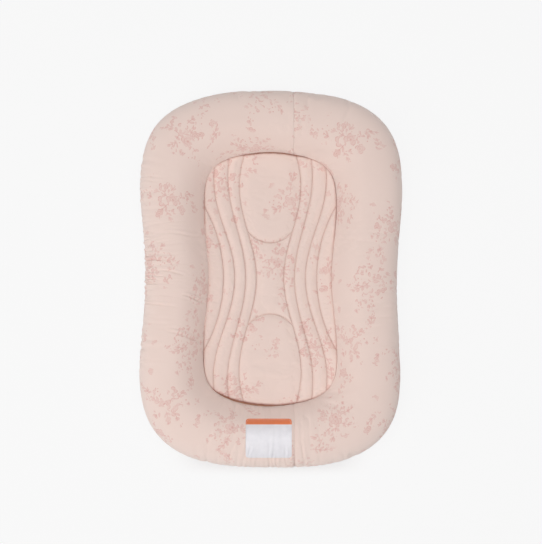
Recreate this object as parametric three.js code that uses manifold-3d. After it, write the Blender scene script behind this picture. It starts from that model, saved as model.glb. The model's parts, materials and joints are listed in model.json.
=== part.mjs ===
// Infant lounger: a stuffed ring bolster in a zipped cotton cover, round a quilted centre pad.
// Millimetres, +Z up. X runs across the lounger, +Y points to the head end, and Z = 0 is the floor.
import * as THREE from "three";
import Module from "manifold-3d";
import { mergeVertices } from "three/addons/utils/BufferGeometryUtils.js";

const wasm = await Module();
wasm.setup();

// Overall sizes
const overallLength = 762;
const overallWidth = 532;
const overallHeight = 105;
const padLength = 520;
const padWidth = 272;

// How far each long side draws in at mid-length
const bolsterWaist = 10;
const padWaist = 12;

// Bolster section: where it is widest, and the seams that close the printed cover
const equatorHeight = 46;
const creaseSeamHeight = 31;
const baseSeamHeight = 8;
const crownFullness = 2.3;
const undersideFullness = 3;
const innerEase = 2.5; // how gently the side towards the pad rises from the crease to the crest
const joinSeamOffset = 51; // the printed cover is joined across the head and foot, right of centre

// Cloth and filling
const coverThickness = 1.6;
const baseClothThickness = 1.2;
const linerThickness = 1;
const layerGap = 0.3;
const stuffingSlitHeight = 40; // the widest slit that still lies under the bolster

// Quilted centre pad
const padCrownHeight = 42;
const padRimHeight = 33.5;
const padRimWidth = 11;
const quiltUnderside = 29.3;
const channelDepth = 3.6;
const channelShoulder = 5;
const creaseGap = 0.8;
const linePitch = 2.2; // the least space between two stitch lines as they run off the pad's edge
const foamThickness = 18;
const pocketThickness = 0.8;
const pocketFloorHeight = 10.5;

// Underside: the base cloth is drawn up under the pad, so that the zip clears the floor
const zipPanelHeight = 6.5;
const rampStart = 8;
const rampEnd = 34;

// Zip, which ends short of the pad's ends
const zipEndMargin = 60;
const zipChainLength = padLength - 2 * zipEndMargin;
const zipSlitHalfWidth = 5.5;
const zipSlitOverrun = 8;
const tapeHalfWidth = 16;
const tapeThickness = 0.6;
const tapeOverrun = 14;
const coilWidth = 2.1;
const coilHeight = 1.9;
const coilGap = 1.8; // between the two coils, where the slider's post runs
const stopLength = 4;
const stopClearance = 1;
const sliderLength = 12;
const sliderPlate = 1.2;
const sliderClearance = 0.3;
const sliderNoseShare = 0.62;
const flangeWidth = 1.1;
const postWidth = 1.1;
const postLength = 4;
const bridgeWidth = 2;
const bridgeLength = 7;
const bridgeWire = 0.9;
const bridgeTunnel = 1.8;
const pullLength = 24;
const pullWidth = 6.4;
const pullThickness = 1;
const pullArmWidth = 1.5;
const pullSlotLength = 6;
const pullBar = 1.1; // the end bar that turns inside the bridge
const pullEndRound = 2;

// Cloth patch sewn on the foot end
const patchWidth = 90;
const patchOffset = -4;
const patchThickness = 0.5;
const patchInnerShare = 0.2; // where it starts and ends across the bolster, from the crease outwards
const patchOuterShare = 0.845;
const bolsterHeight = overallHeight - layerGap - patchThickness; // the patch lies over the crest

const quarterSteps = 14; // stations in each quarter of the ring
// Facets across the printed cover: from the crease to the crest, on to the outer side, and below it
const innerFacets = 6;
const outerFacets = 5;
const lowerFacets = 3;
const tracePoints = 600;
const turnWeight = 1.3;
const halfTurn = Math.PI;
const quarterTurn = Math.PI / 2;

// An outline is a rounded oblong whose long sides draw in. Fullness sets how square its corners are.
const bolsterOutline = outline({
  halfLength: overallLength / 2,
  halfWidth: overallWidth / 2,
  waist: bolsterWaist,
  sideFullness: 6.2,
  endFullness: 2.45,
  shoulderShare: 0.53,
});
const padOutline = outline({
  halfLength: padLength / 2,
  halfWidth: padWidth / 2,
  waist: padWaist,
  sideFullness: 10,
  endFullness: 1.8,
  shoulderShare: 0.62,
});
const spineOutline = {};
for (const key of Object.keys(padOutline)) spineOutline[key] = (bolsterOutline[key] + padOutline[key]) / 2;

function halfWidthAt(y, o) {
  const along = Math.min(1, Math.abs(y) / o.halfLength);
  const oblong = Math.pow(1 - Math.pow(along, o.sideFullness), 1 / o.endFullness);
  const drawn = along < o.shoulderShare ? Math.cos((quarterTurn * along) / o.shoulderShare) ** 2 : 0;
  return o.swell * o.halfWidth * oblong - o.waist * drawn;
}

// Swells an outline until its widest place, beside the waist, has the wanted width.
function outline(sizes) {
  const o = { ...sizes, swell: 1 };
  for (let pass = 0; pass < 8; pass++) {
    let widest = 0;
    for (let k = 0; k <= tracePoints; k++)
      widest = Math.max(widest, halfWidthAt((o.halfLength * k) / tracePoints, o));
    o.swell *= o.halfWidth / widest;
  }
  return o;
}

// How far a ray that starts inside an outline runs before it crosses it, found by halving.
function reach(x, y, dx, dy, o, longest) {
  let near = 0;
  let far = longest;
  for (let i = 0; i < 40; i++) {
    const middle = (near + far) / 2;
    const py = y + dy * middle;
    if (Math.abs(x + dx * middle) < halfWidthAt(py, o) && Math.abs(py) < o.halfLength) near = middle;
    else far = middle;
  }
  return near;
}

// A quarter of an outline, from the middle of the right side to the middle of the head end.
function traceQuarter(o) {
  return Array.from({ length: tracePoints + 1 }, (_, i) => {
    if (i === tracePoints) return { x: 0, y: o.halfLength };
    const turn = quarterTurn * Math.pow(i / tracePoints, o.sideFullness / 2); // spaces the points evenly
    const y = o.halfLength * Math.pow(Math.sin(turn), 2 / o.sideFullness);
    return { x: Math.max(0, halfWidthAt(y, o)), y };
  });
}

const padTrace = traceQuarter(padOutline);

function nearestOnPad(x, y) {
  let best = { gap: Infinity };
  for (let i = 0; i < tracePoints; i++) {
    const [a, b] = [padTrace[i], padTrace[i + 1]];
    const [sx, sy] = [b.x - a.x, b.y - a.y];
    const share = Math.max(0, Math.min(1, ((x - a.x) * sx + (y - a.y) * sy) / (sx * sx + sy * sy)));
    const [px, py] = [a.x + sx * share, a.y + sy * share];
    const gap = Math.hypot(x - px, y - py);
    if (gap < best.gap) best = { gap, x: px, y: py };
  }
  return best;
}

// A station is a point on the bolster's spine, with the way across the bolster, square to the pad's edge,
// and the distance to both sides.
function stationAt(x, y) {
  const inner = nearestOnPad(x, y);
  const nx = (x - inner.x) / inner.gap;
  const ny = (y - inner.y) / inner.gap;
  const outward = reach(x, y, nx, ny, bolsterOutline, overallWidth / 2);
  return { x, y, nx, ny, half: (outward + inner.gap) / 2, middle: (outward - inner.gap) / 2 };
}

// Stations of a quarter, closer together round the corner. One of them lies on the cover's join seam.
function quarterStations() {
  const points = traceQuarter(spineOutline);
  const along = [0];
  const turned = [0];
  let before = quarterTurn;
  for (let i = 0; i < tracePoints; i++) {
    const [dx, dy] = [points[i + 1].x - points[i].x, points[i + 1].y - points[i].y];
    const direction = Math.atan2(dy, dx);
    along.push(along[i] + Math.hypot(dx, dy));
    turned.push(turned[i] + Math.abs(direction - before));
    before = direction;
  }
  const [length, turning] = [along[tracePoints], turned[tracePoints]];
  const measure = along.map((d, i) => d / length + (turnWeight * turned[i]) / turning);
  const seamIndex = points.findIndex((p) => p.x < joinSeamOffset);
  const seamStep = Math.round((quarterSteps * measure[seamIndex]) / measure[tracePoints]);
  const stations = [];
  for (let step = 0; step <= quarterSteps; step++) {
    const target = (measure[tracePoints] * step) / quarterSteps;
    const p = points[step === seamStep ? seamIndex : measure.findIndex((m) => m >= target - 1e-9)];
    const s = stationAt(step === seamStep ? joinSeamOffset : p.x, p.y);
    if (step === 0) Object.assign(s, { nx: 1, ny: 0 });
    if (step === quarterSteps) Object.assign(s, { nx: 0, ny: 1 });
    stations.push(s);
  }
  return { stations, seamStep };
}

const { stations: quarter, seamStep } = quarterStations();
const mirrored = (s, sx, sy) => ({ ...s, x: s.x * sx, y: s.y * sy, nx: s.nx * sx, ny: s.ny * sy });

// The whole ring, anticlockwise from the middle of the right side.
const ring = [
  ...quarter.slice(0, quarterSteps),
  ...quarter.slice(1).reverse().map((s) => mirrored(s, -1, 1)),
  ...quarter.slice(0, quarterSteps).map((s) => mirrored(s, -1, -1)),
  ...quarter.slice(1).reverse().map((s) => mirrored(s, 1, -1)),
];
const ringSteps = ring.length;
const headSeam = seamStep;
const footSeam = ringSteps - seamStep;
const headMiddle = quarterSteps;
const footMiddle = 3 * quarterSteps;

// A point of the bolster's skin. Angle 0 is its inner side, a quarter turn its crest, a half turn its outer
// side.
function sectionAt(angle, half, inset) {
  const across = Math.cos(angle);
  const up = Math.sin(angle);
  const fullness = up > 0 ? crownFullness : undersideFullness;
  const rise = (up > 0 ? bolsterHeight - equatorHeight : equatorHeight) - inset;
  const out = -Math.sign(across) * Math.pow(Math.abs(across), 2 / fullness) * (half - inset);
  let z = equatorHeight + Math.sign(up) * Math.pow(Math.abs(up), 2 / fullness) * rise;
  if (across > 0 && z > creaseSeamHeight) {
    const full = bolsterHeight - inset - creaseSeamHeight;
    z = creaseSeamHeight + full * Math.pow((z - creaseSeamHeight) / full, innerEase);
  }
  return { out, z };
}

function skinPoint(station, angle, inset) {
  const { out, z } = sectionAt(angle, station.half, inset);
  const d = station.middle + out;
  return new THREE.Vector3(station.x + station.nx * d, station.y + station.ny * d, z);
}

const angleBelowEquator = (height) =>
  Math.asin(Math.pow((equatorHeight - height) / equatorHeight, undersideFullness / 2));
const creaseAngle = -angleBelowEquator(creaseSeamHeight);
const baseSeamAngle = halfTurn + angleBelowEquator(baseSeamHeight);
const spread = (from, to, steps) =>
  Array.from({ length: steps }, (_, k) => from + ((to - from) * (k + 1)) / steps);
const coverAngles = [
  creaseAngle,
  ...spread(creaseAngle, quarterTurn, innerFacets),
  ...spread(quarterTurn, halfTurn, outerFacets),
  ...spread(halfTurn, baseSeamAngle, lowerFacets),
];
const coverSteps = coverAngles.length - 1;
// The insert follows every second angle of the cover, then closes underneath.
const underneath = 2 * halfTurn + creaseAngle - baseSeamAngle;
const insertAngles = [
  ...coverAngles.filter((_, k) => k % 2 === 0),
  baseSeamAngle + underneath / 3,
  baseSeamAngle + (2 * underneath) / 3,
];

function geometryOf(positions, triangles) {
  const geometry = new THREE.BufferGeometry();
  const flat = positions.flatMap((p) => [p.x, p.y, p.z]);
  geometry.setAttribute("position", new THREE.Float32BufferAttribute(flat, 3));
  geometry.setIndex(triangles);
  return geometry;
}

// A cloth: an outer and an inner grid of points, closed along every free edge. It may wrap round in rows or
// columns, and leaves out the cells that cut() names.
function clothSolid(outer, inner, { wrapRows = false, wrapColumns = false, cut = () => false } = {}) {
  const rows = outer.length;
  const columns = outer[0].length;
  const cellRows = wrapRows ? rows : rows - 1;
  const cellColumns = wrapColumns ? columns : columns - 1;
  const points = [...outer.flat(), ...inner.flat()];
  const triangles = [];
  const o = (i, j) => (i % rows) * columns + (j % columns);
  const n = (i, j) => rows * columns + o(i, j);
  const quad = (a, b, c, d) => triangles.push(a, b, c, a, c, d);
  const there = (i, j) => {
    const row = wrapRows ? (i + rows) % rows : i;
    const column = wrapColumns ? (j + columns) % columns : j;
    return row >= 0 && row < cellRows && column >= 0 && column < cellColumns && !cut(row, column);
  };
  for (let i = 0; i < cellRows; i++)
    for (let j = 0; j < cellColumns; j++) {
      if (!there(i, j)) continue;
      quad(o(i, j), o(i, j + 1), o(i + 1, j + 1), o(i + 1, j));
      quad(n(i, j), n(i + 1, j), n(i + 1, j + 1), n(i, j + 1));
      if (!there(i, j - 1)) quad(o(i, j), o(i + 1, j), n(i + 1, j), n(i, j));
      if (!there(i, j + 1)) quad(o(i + 1, j + 1), o(i, j + 1), n(i, j + 1), n(i + 1, j + 1));
      if (!there(i - 1, j)) quad(o(i, j + 1), o(i, j), n(i, j), n(i, j + 1));
      if (!there(i + 1, j)) quad(o(i + 1, j), o(i + 1, j + 1), n(i + 1, j + 1), n(i + 1, j));
    }
  return geometryOf(points, triangles);
}

const skinGrid = (stations, angles, inset) => stations.map((s) => angles.map((a) => skinPoint(s, a, inset)));

// Printed cover, in two halves that meet at the join seam
function coverHalf(from, to) {
  const stations = [];
  for (let i = from; i <= to; i++) stations.push(ring[(i + ringSteps) % ringSteps]);
  const side = from === headSeam ? -1 : 1;
  const ends = new Set([0, stations.length - 1]);
  const drawn = stations.map((s, i) => (ends.has(i) ? { ...s, x: s.x + (side * layerGap) / 2 } : s));
  return clothSolid(skinGrid(drawn, coverAngles, 0), skinGrid(drawn, coverAngles, coverThickness));
}

// Insert: a sewn liner with a stuffing slit underneath at the foot, and the fibre filling inside it
const linerInset = coverThickness + layerGap;
const fillInset = linerInset + linerThickness + layerGap;

function bolsterLiner() {
  const slitColumn = insertAngles.length - 2;
  const underRing = (i) => Math.abs(i + 0.5 - footMiddle) < 2;
  return clothSolid(
    skinGrid(ring, insertAngles, linerInset),
    skinGrid(ring, insertAngles, linerInset + linerThickness),
    { wrapRows: true, wrapColumns: true, cut: (i, j) => j === slitColumn && underRing(i) },
  );
}

function bolsterFill() {
  const points = ring.map((s) => insertAngles.map((a) => skinPoint(s, a, fillInset)));
  const columns = insertAngles.length;
  const at = (i, j) => (i % ringSteps) * columns + (j % columns);
  const triangles = [];
  for (let i = 0; i < ringSteps; i++)
    for (let j = 0; j < columns; j++)
      triangles.push(at(i, j), at(i, j + 1), at(i + 1, j + 1), at(i, j), at(i + 1, j + 1), at(i + 1, j));
  return geometryOf(points.flat(), triangles);
}

// Base cloth, left and right of the zip. Its margin turns up to the base seam, it lies flat under the
// bolster, and it is drawn up under the pad.
const zipLineHalf = zipChainLength / 2 + zipSlitOverrun;
const marginShares = [0, 0.34, 0.68, 1];

function basePanel(side) {
  const [from, to] = side < 0 ? [headMiddle, footMiddle] : [footMiddle, headMiddle + ringSteps];
  const count = to - from;
  const marginStart = baseSeamAngle + (1.5 * layerGap) / equatorHeight;
  const marginTurn = halfTurn + quarterTurn - marginStart;
  const marginAngles = marginShares.map((share) => marginStart + share * marginTurn);
  const outer = [];
  const inner = [];
  for (let i = 0; i <= count; i++) {
    const atEnd = i === 0 || i === count;
    const s = { ...ring[(from + i) % ringSteps] };
    if (atEnd) s.x += (side * layerGap) / 2;
    const under = marginAngles.map((a) => skinPoint(s, a, 0));
    const above = marginAngles.map((a) => skinPoint(s, a, baseClothThickness));
    // from the spine inwards the cloth is flat, as far as the pad's outline
    const edge = new THREE.Vector3(s.x + s.nx * (s.middle - s.half), s.y + s.ny * (s.middle - s.half), 0);
    const alongZip = (zipLineHalf * edge.y) / padOutline.halfLength;
    const pastZip = Math.sign(edge.y) * (zipLineHalf + zipSlitHalfWidth / 2);
    const zipPoint = atEnd
      ? new THREE.Vector3((side * layerGap) / 2, pastZip, 0)
      : new THREE.Vector3(side * zipSlitHalfWidth, alongZip, 0);
    const inwards = zipPoint.clone().sub(edge);
    const run = inwards.length();
    inwards.normalize();
    const at = (d, z) => edge.clone().addScaledVector(inwards, d).setZ(z);
    const end = Math.min(rampEnd, run / 2);
    const start = Math.min(rampStart, end / 2);
    const flat = [edge, at(start, 0), at(end, zipPanelHeight), zipPoint.setZ(zipPanelHeight)];
    under.push(...flat);
    above.push(...flat.map((p) => p.clone().setZ(p.z + baseClothThickness)));
    outer.push(under);
    inner.push(above);
  }
  return clothSolid(outer, inner);
}

// Quilted pad. Stitch lines run the length of the pad as waves, as half-widths that depend on y.
const wave = (waistShare, shoulderShare, periodShare) => (y) => {
  const swing = (shoulderShare - waistShare) / 2;
  const middle = (shoulderShare + waistShare) / 2;
  const phase = (halfTurn * y) / (periodShare * padOutline.halfLength);
  return padOutline.halfWidth * (middle - swing * Math.cos(phase));
};
const outerWave = (waistShare, riseShare, meetShare, bend) => (y) => {
  const along = Math.abs(y) / (meetShare * padOutline.halfLength);
  return padOutline.halfWidth * (waistShare + riseShare * Math.pow(along, bend));
};
const stitchWaves = [
  wave(0.204, 0.463, 0.727), // inner line, round the head and seat ovals
  wave(0.366, 0.639, 0.805),
  wave(0.53, 0.851, 0.781),
  outerWave(0.701, 0.277, 0.54, 2.2), // outer line, which runs off the sides at the shoulders
];
const arcTipShare = 0.281; // the ovals' round ends, as shares of the pad's half-length
const arcFootShare = 0.36;
const arcBend = 2.2;
const arcSpread = 0.15;
const padRowShares = [
  0, 0.075, 0.15, 0.215, 0.275, 0.335, 0.36, 0.385, 0.45, 0.53, 0.61, 0.69, 0.77, 0.84, 0.895, 0.94, 0.975,
  1,
];
const centreShares = [0.85, 0.5, 0];

// The pad's edge at the ring's own stations, drawn in by a margin.
const padEdge = (margin, stations) =>
  stations.map((s) => {
    const d = s.middle - s.half - margin;
    return new THREE.Vector2(s.x + s.nx * d, s.y + s.ny * d);
  });
const quiltEdge = padEdge(creaseGap, quarter);
const quiltEnd = quiltEdge[quarterSteps].y;
const quiltCorner = quiltEdge[quarterSteps - 1];

function quiltHalfWidthAt(y) {
  const k = Math.max(1, quiltEdge.findIndex((p) => p.y >= Math.abs(y)));
  const [a, b] = [quiltEdge[k - 1], quiltEdge[k]];
  return a.x + ((b.x - a.x) * (Math.abs(y) - a.y)) / (b.y - a.y);
}

// Half of one row of the pad, from its edge to the middle: where each point lies, and how far it is in a
// channel.
function padRow(y) {
  const edge = quiltHalfWidthAt(y);
  const row = [{ x: edge, depth: 0 }];
  let before = edge;
  for (const line of [...stitchWaves].reverse()) {
    const x = Math.min(line(y), before - linePitch);
    const width = before - x;
    const shoulder = Math.min(channelShoulder, width / 3);
    const depth = Math.min(1, width / (2 * channelShoulder));
    row.push({ x: before - shoulder, depth: 0 }, { x: x + shoulder, depth: 0 }, { x, depth });
    before = x;
  }
  for (const share of centreShares) row.push({ x: before * share, depth: 0 });
  return { row, inner: before };
}

function quiltHeight(x, y, depth) {
  const side = quiltHalfWidthAt(y) - Math.abs(x);
  const rim = Math.min(1, Math.max(0, Math.min(side, quiltEnd - Math.abs(y))) / padRimWidth);
  const crown = (padCrownHeight - padRimHeight) * Math.sqrt(rim * (2 - rim));
  return padRimHeight + crown - channelDepth * depth * rim;
}

function quiltFace() {
  const shares = [...padRowShares.slice(1).reverse().map((s) => -s), ...padRowShares];
  const grid = shares.map((share) => {
    const towards = Math.sign(share);
    const isEnd = Math.abs(share) === 1;
    const y = share * quiltCorner.y;
    const { row, inner } = padRow(y);
    const closeness = Math.exp(-(((Math.abs(share) - arcFootShare) / arcSpread) ** 2));
    const half = row.map(({ x, depth }) => {
      const within = Math.max(0, 1 - Math.pow(x / inner, arcBend));
      const dip = (arcFootShare - arcTipShare) * quiltCorner.y * closeness * within;
      const bulge = isEnd ? (quiltEnd - quiltCorner.y) * (1 - x / quiltCorner.x) : 0;
      const py = y + towards * (bulge - dip);
      const sunk = Math.abs(share) === arcFootShare && x < inner ? 1 : depth;
      return { x, y: py, z: isEnd ? padRimHeight : quiltHeight(x, py, sunk) };
    });
    const left = half.map((p) => new THREE.Vector3(-p.x, p.y, p.z));
    const right = half.slice(0, -1).reverse().map((p) => new THREE.Vector3(p.x, p.y, p.z));
    return [...left, ...right];
  });
  return cappedBelow(grid, quiltUnderside);
}

// A solid with this grid on top, upright edges and a flat underside that fans out from the origin.
function cappedBelow(grid, underside) {
  const rows = grid.length;
  const columns = grid[0].length;
  const points = grid.flat();
  const at = (i, j) => i * columns + j;
  const triangles = [];
  for (let i = 0; i + 1 < rows; i++)
    for (let j = 0; j + 1 < columns; j++)
      triangles.push(at(i, j), at(i, j + 1), at(i + 1, j + 1), at(i, j), at(i + 1, j + 1), at(i + 1, j));
  const border = [];
  for (let j = 0; j < columns; j++) border.push(at(0, j));
  for (let i = 1; i < rows; i++) border.push(at(i, columns - 1));
  for (let j = columns - 2; j >= 0; j--) border.push(at(rows - 1, j));
  for (let i = rows - 2; i > 0; i--) border.push(at(i, 0));
  const first = points.length;
  for (const b of border) points.push(points[b].clone().setZ(underside));
  const ringLength = border.length;
  for (let k = 0; k < ringLength; k++) {
    const next = (k + 1) % ringLength;
    triangles.push(border[k], first + k, first + next, border[k], first + next, border[next]);
  }
  const centre = points.push(new THREE.Vector3(0, 0, underside)) - 1;
  for (let k = 0; k < ringLength; k++) triangles.push(centre, first + ((k + 1) % ringLength), first + k);
  return geometryOf(points, triangles);
}

const padShape = (margin) => new THREE.Shape(padEdge(margin, ring));

function slab(shape, from, to) {
  const geometry = new THREE.ExtrudeGeometry(shape, { depth: to - from, bevelEnabled: false });
  return geometry.translate(0, 0, from);
}

function solid(geometry) {
  const bare = geometry.clone();
  for (const name of Object.keys(bare.attributes)) if (name !== "position") bare.deleteAttribute(name);
  const merged = mergeVertices(bare, 1e-4);
  return new wasm.Manifold(
    new wasm.Mesh({
      numProp: 3,
      vertProperties: merged.attributes.position.array,
      triVerts: new Uint32Array(merged.index.array),
    }),
  );
}

function fromSolid(made) {
  const { vertProperties, triVerts } = made.getMesh();
  const geometry = new THREE.BufferGeometry();
  geometry.setAttribute("position", new THREE.BufferAttribute(new Float32Array(vertProperties), 3));
  geometry.setIndex(new THREE.BufferAttribute(new Uint32Array(triVerts), 1));
  return geometry;
}

const pocketWallTop = quiltUnderside - layerGap;
const foamFloor = pocketFloorHeight + pocketThickness + layerGap;
const foamTop = Math.min(foamFloor + foamThickness, quiltUnderside - layerGap);

function padFoam() {
  return slab(padShape(creaseGap + pocketThickness + layerGap), foamFloor, foamTop);
}

// The pocket under the pad: a cloth tray that holds the foam
function padPocket() {
  const tray = slab(padShape(creaseGap), pocketFloorHeight, pocketWallTop);
  const hollowFloor = pocketFloorHeight + pocketThickness;
  const hollow = slab(padShape(creaseGap + pocketThickness), hollowFloor, pocketWallTop + layerGap);
  return fromSolid(solid(tray).subtract(solid(hollow)));
}

// Zip levels, from the tape down to the slider's bridge
const tapeFloor = zipPanelHeight + baseClothThickness + layerGap;
const tapeTop = tapeFloor + tapeThickness;
const coilTop = tapeFloor - layerGap / 2;
const coilFloor = coilTop - coilHeight;
const upperPlateFloor = tapeTop + sliderClearance;
const lowerPlateTop = coilFloor - sliderClearance;
const lowerPlateFloor = lowerPlateTop - sliderPlate;
const sliderHalfWidth = coilGap / 2 + coilWidth + sliderClearance + flangeWidth;
const pullAxisHeight = lowerPlateFloor - bridgeTunnel / 2;
const sliderRest = -(zipChainLength / 2) + sliderLength / 2 + stopClearance;

function block(x0, x1, y0, y1, z0, z1) {
  const geometry = new THREE.BoxGeometry(x1 - x0, y1 - y0, z1 - z0);
  return geometry.translate((x0 + x1) / 2, (y0 + y1) / 2, (z0 + z1) / 2);
}

function zipTape(side) {
  const edge = coilGap / 2;
  const half = zipChainLength / 2 + tapeOverrun;
  const [x0, x1] = side < 0 ? [-tapeHalfWidth, -edge] : [edge, tapeHalfWidth];
  return block(x0, x1, -half, half, tapeFloor, tapeTop);
}

// A coil seen from its end: flat against the tape and rounded below
function zipCoil(side) {
  const half = coilWidth / 2;
  const round = coilHeight / 2;
  const section = new THREE.Shape();
  section.moveTo(-half, 0);
  section.lineTo(-half, round - coilHeight);
  section.quadraticCurveTo(-half, -coilHeight, 0, -coilHeight);
  section.quadraticCurveTo(half, -coilHeight, half, round - coilHeight);
  section.lineTo(half, 0);
  section.closePath();
  const options = { depth: zipChainLength, bevelEnabled: false, curveSegments: 4 };
  const coil = new THREE.ExtrudeGeometry(section, options);
  coil.rotateX(quarterTurn);
  return coil.translate(side * (coilGap / 2 + half), zipChainLength / 2, coilTop);
}

// Metal stops past the ends of the coils: one on each tape where the zip closes, and one across both where
// it opens
function topStop(side) {
  const inner = coilGap / 2;
  const outer = inner + coilWidth;
  const y = -(zipChainLength / 2) - layerGap;
  const [x0, x1] = side < 0 ? [-outer, -inner] : [inner, outer];
  return block(x0, x1, y - stopLength, y, coilFloor, coilTop);
}

function bottomStop() {
  const outer = coilGap / 2 + coilWidth;
  const y = zipChainLength / 2 + layerGap;
  return block(-outer, outer, y, y + stopLength, coilFloor, coilTop);
}

// Slider: a plate over the tapes, a channel under the coils, the post between them, and a bridge for the
// pull
function zipSlider() {
  const half = sliderLength / 2;
  const nose = sliderHalfWidth * sliderNoseShare;
  const plate = (from, to) => {
    const outline = new THREE.Shape();
    outline.moveTo(-nose, half);
    outline.lineTo(-sliderHalfWidth, half - nose / 2);
    outline.lineTo(-sliderHalfWidth, -half);
    outline.lineTo(sliderHalfWidth, -half);
    outline.lineTo(sliderHalfWidth, half - nose / 2);
    outline.lineTo(nose, half);
    outline.closePath();
    return slab(outline, from, to);
  };
  const upper = solid(plate(upperPlateFloor, upperPlateFloor + sliderPlate));
  const lower = solid(plate(lowerPlateFloor, lowerPlateTop));
  const flangeTop = tapeFloor - sliderClearance;
  const flangeFrom = sliderHalfWidth - flangeWidth;
  const flangeEnd = half - nose / 2;
  const flanges = [-1, 1].map((side) => {
    const [x0, x1] = side < 0 ? [-sliderHalfWidth, -flangeFrom] : [flangeFrom, sliderHalfWidth];
    return solid(block(x0, x1, -half, flangeEnd, lowerPlateTop - sliderPlate / 2, flangeTop));
  });
  const post = solid(
    block(
      -postWidth / 2,
      postWidth / 2,
      -half + postWidth,
      -half + postWidth + postLength,
      lowerPlateTop - sliderPlate / 2,
      upperPlateFloor + sliderPlate / 2,
    ),
  );
  const bridgeFloor = lowerPlateFloor - bridgeTunnel - bridgeWire;
  const [bridgeX, bridgeY] = [bridgeWidth / 2, bridgeLength / 2];
  const outside = solid(block(-bridgeX, bridgeX, -bridgeY, bridgeY, bridgeFloor, lowerPlateTop));
  const tunnel = solid(
    block(
      -bridgeWidth,
      bridgeWidth,
      -bridgeY + bridgeWire,
      bridgeY - bridgeWire,
      lowerPlateFloor - bridgeTunnel,
      lowerPlateFloor,
    ),
  );
  const made = [upper, lower, ...flanges, post].reduce((all, piece) => all.add(piece));
  return fromSolid(made.add(outside.subtract(tunnel))).translate(0, sliderRest, 0);
}

// Pull: a tab whose end bar turns inside the slider's bridge
function zipPull() {
  const half = pullWidth / 2;
  const tab = new THREE.Shape();
  tab.moveTo(-half, -pullBar / 2);
  tab.lineTo(half, -pullBar / 2);
  tab.lineTo(half, pullLength - pullEndRound);
  tab.quadraticCurveTo(half, pullLength, half - pullEndRound, pullLength);
  tab.lineTo(pullEndRound - half, pullLength);
  tab.quadraticCurveTo(-half, pullLength, -half, pullLength - pullEndRound);
  tab.closePath();
  const slot = new THREE.Path();
  const arm = half - pullArmWidth;
  slot.moveTo(-arm, pullBar / 2);
  slot.lineTo(-arm, pullBar / 2 + pullSlotLength);
  slot.lineTo(arm, pullBar / 2 + pullSlotLength);
  slot.lineTo(arm, pullBar / 2);
  slot.closePath();
  tab.holes.push(slot);
  const options = { depth: pullThickness, bevelEnabled: false, curveSegments: 4 };
  const pull = new THREE.ExtrudeGeometry(tab, options);
  return pull.translate(0, sliderRest, pullAxisHeight - pullThickness / 2);
}

// A point of the faceted cover, at fractions of its stations and angles
function coverPoint(i, j, lift) {
  const i0 = Math.floor(i);
  const j0 = Math.min(Math.floor(j), coverSteps - 1);
  const at = (a, b) => skinPoint(ring[a % ringSteps], coverAngles[b], -lift);
  const low = at(i0, j0).lerp(at(i0 + 1, j0), i - i0);
  const high = at(i0, j0 + 1).lerp(at(i0 + 1, j0 + 1), i - i0);
  return low.lerp(high, j - j0);
}

// Which station, or place between two, has this x on the foot end's cover
function footStation(x, step) {
  let low = footMiddle - quarterSteps / 2;
  let high = footMiddle + quarterSteps / 2;
  for (let pass = 0; pass < 30; pass++) {
    const middle = (low + high) / 2;
    if (coverPoint(middle, step, 0).x < x) low = middle;
    else high = middle;
  }
  return low;
}

// Which facet edge, or place between two, is this share of the way across the bolster
function coverStep(share) {
  const shares = coverAngles.map((a) => (sectionAt(a, 1, 0).out + 1) / 2);
  const crossed = shares.findIndex((s, k) => k > 1 && s > share);
  return crossed - (shares[crossed] - share) / (shares[crossed] - shares[crossed - 1]);
}

function clothPatch() {
  const edges = (a, b) => {
    const first = Math.floor(a) + 1;
    return Array.from({ length: Math.ceil(b) - first }, (_, k) => first + k);
  };
  const start = coverStep(patchInnerShare);
  const end = coverStep(patchOuterShare);
  const steps = [start, ...edges(start, end), end];
  const first = steps.map((step) => footStation(patchOffset - patchWidth / 2, step));
  const last = steps.map((step) => footStation(patchOffset + patchWidth / 2, step));
  const between = edges(Math.max(...first), Math.min(...last));
  const grid = (lift) => {
    const row = (station) => steps.map((step, k) => coverPoint(station(k), step, lift));
    return [row((k) => first[k]), ...between.map((i) => row(() => i)), row((k) => last[k])];
  };
  return clothSolid(grid(layerGap + patchThickness), grid(layerGap));
}

const cloth = (name, colour) =>
  new THREE.MeshStandardMaterial({ name, color: colour, roughness: 0.9, metalness: 0 });
const printedCotton = cloth("printed_cotton", 0xe6cdc3);
const plainCotton = cloth("plain_cotton", 0xe9d8cf);
const linerCotton = cloth("liner_cotton", 0xf1eee8);
const fibre = cloth("fibre_filling", 0xf6f5f2);
const foam = cloth("foam", 0xf2ead2);
const patchSatin = cloth("patch_satin", 0xf2f0f2);
const zipWebbing = cloth("zip_webbing", 0xe3ccc2);
const zipNylon = new THREE.MeshStandardMaterial({
  name: "zip_nylon",
  color: 0xe0c8be,
  roughness: 0.45,
  metalness: 0,
});
const zipMetal = new THREE.MeshStandardMaterial({
  name: "zip_metal",
  color: 0xdcc4ba,
  roughness: 0.4,
  metalness: 0.4,
});

const lounger = new THREE.Group();
function piece(name, geometry, material) {
  const mesh = new THREE.Mesh(geometry, material);
  mesh.name = name;
  lounger.add(mesh);
}

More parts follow.
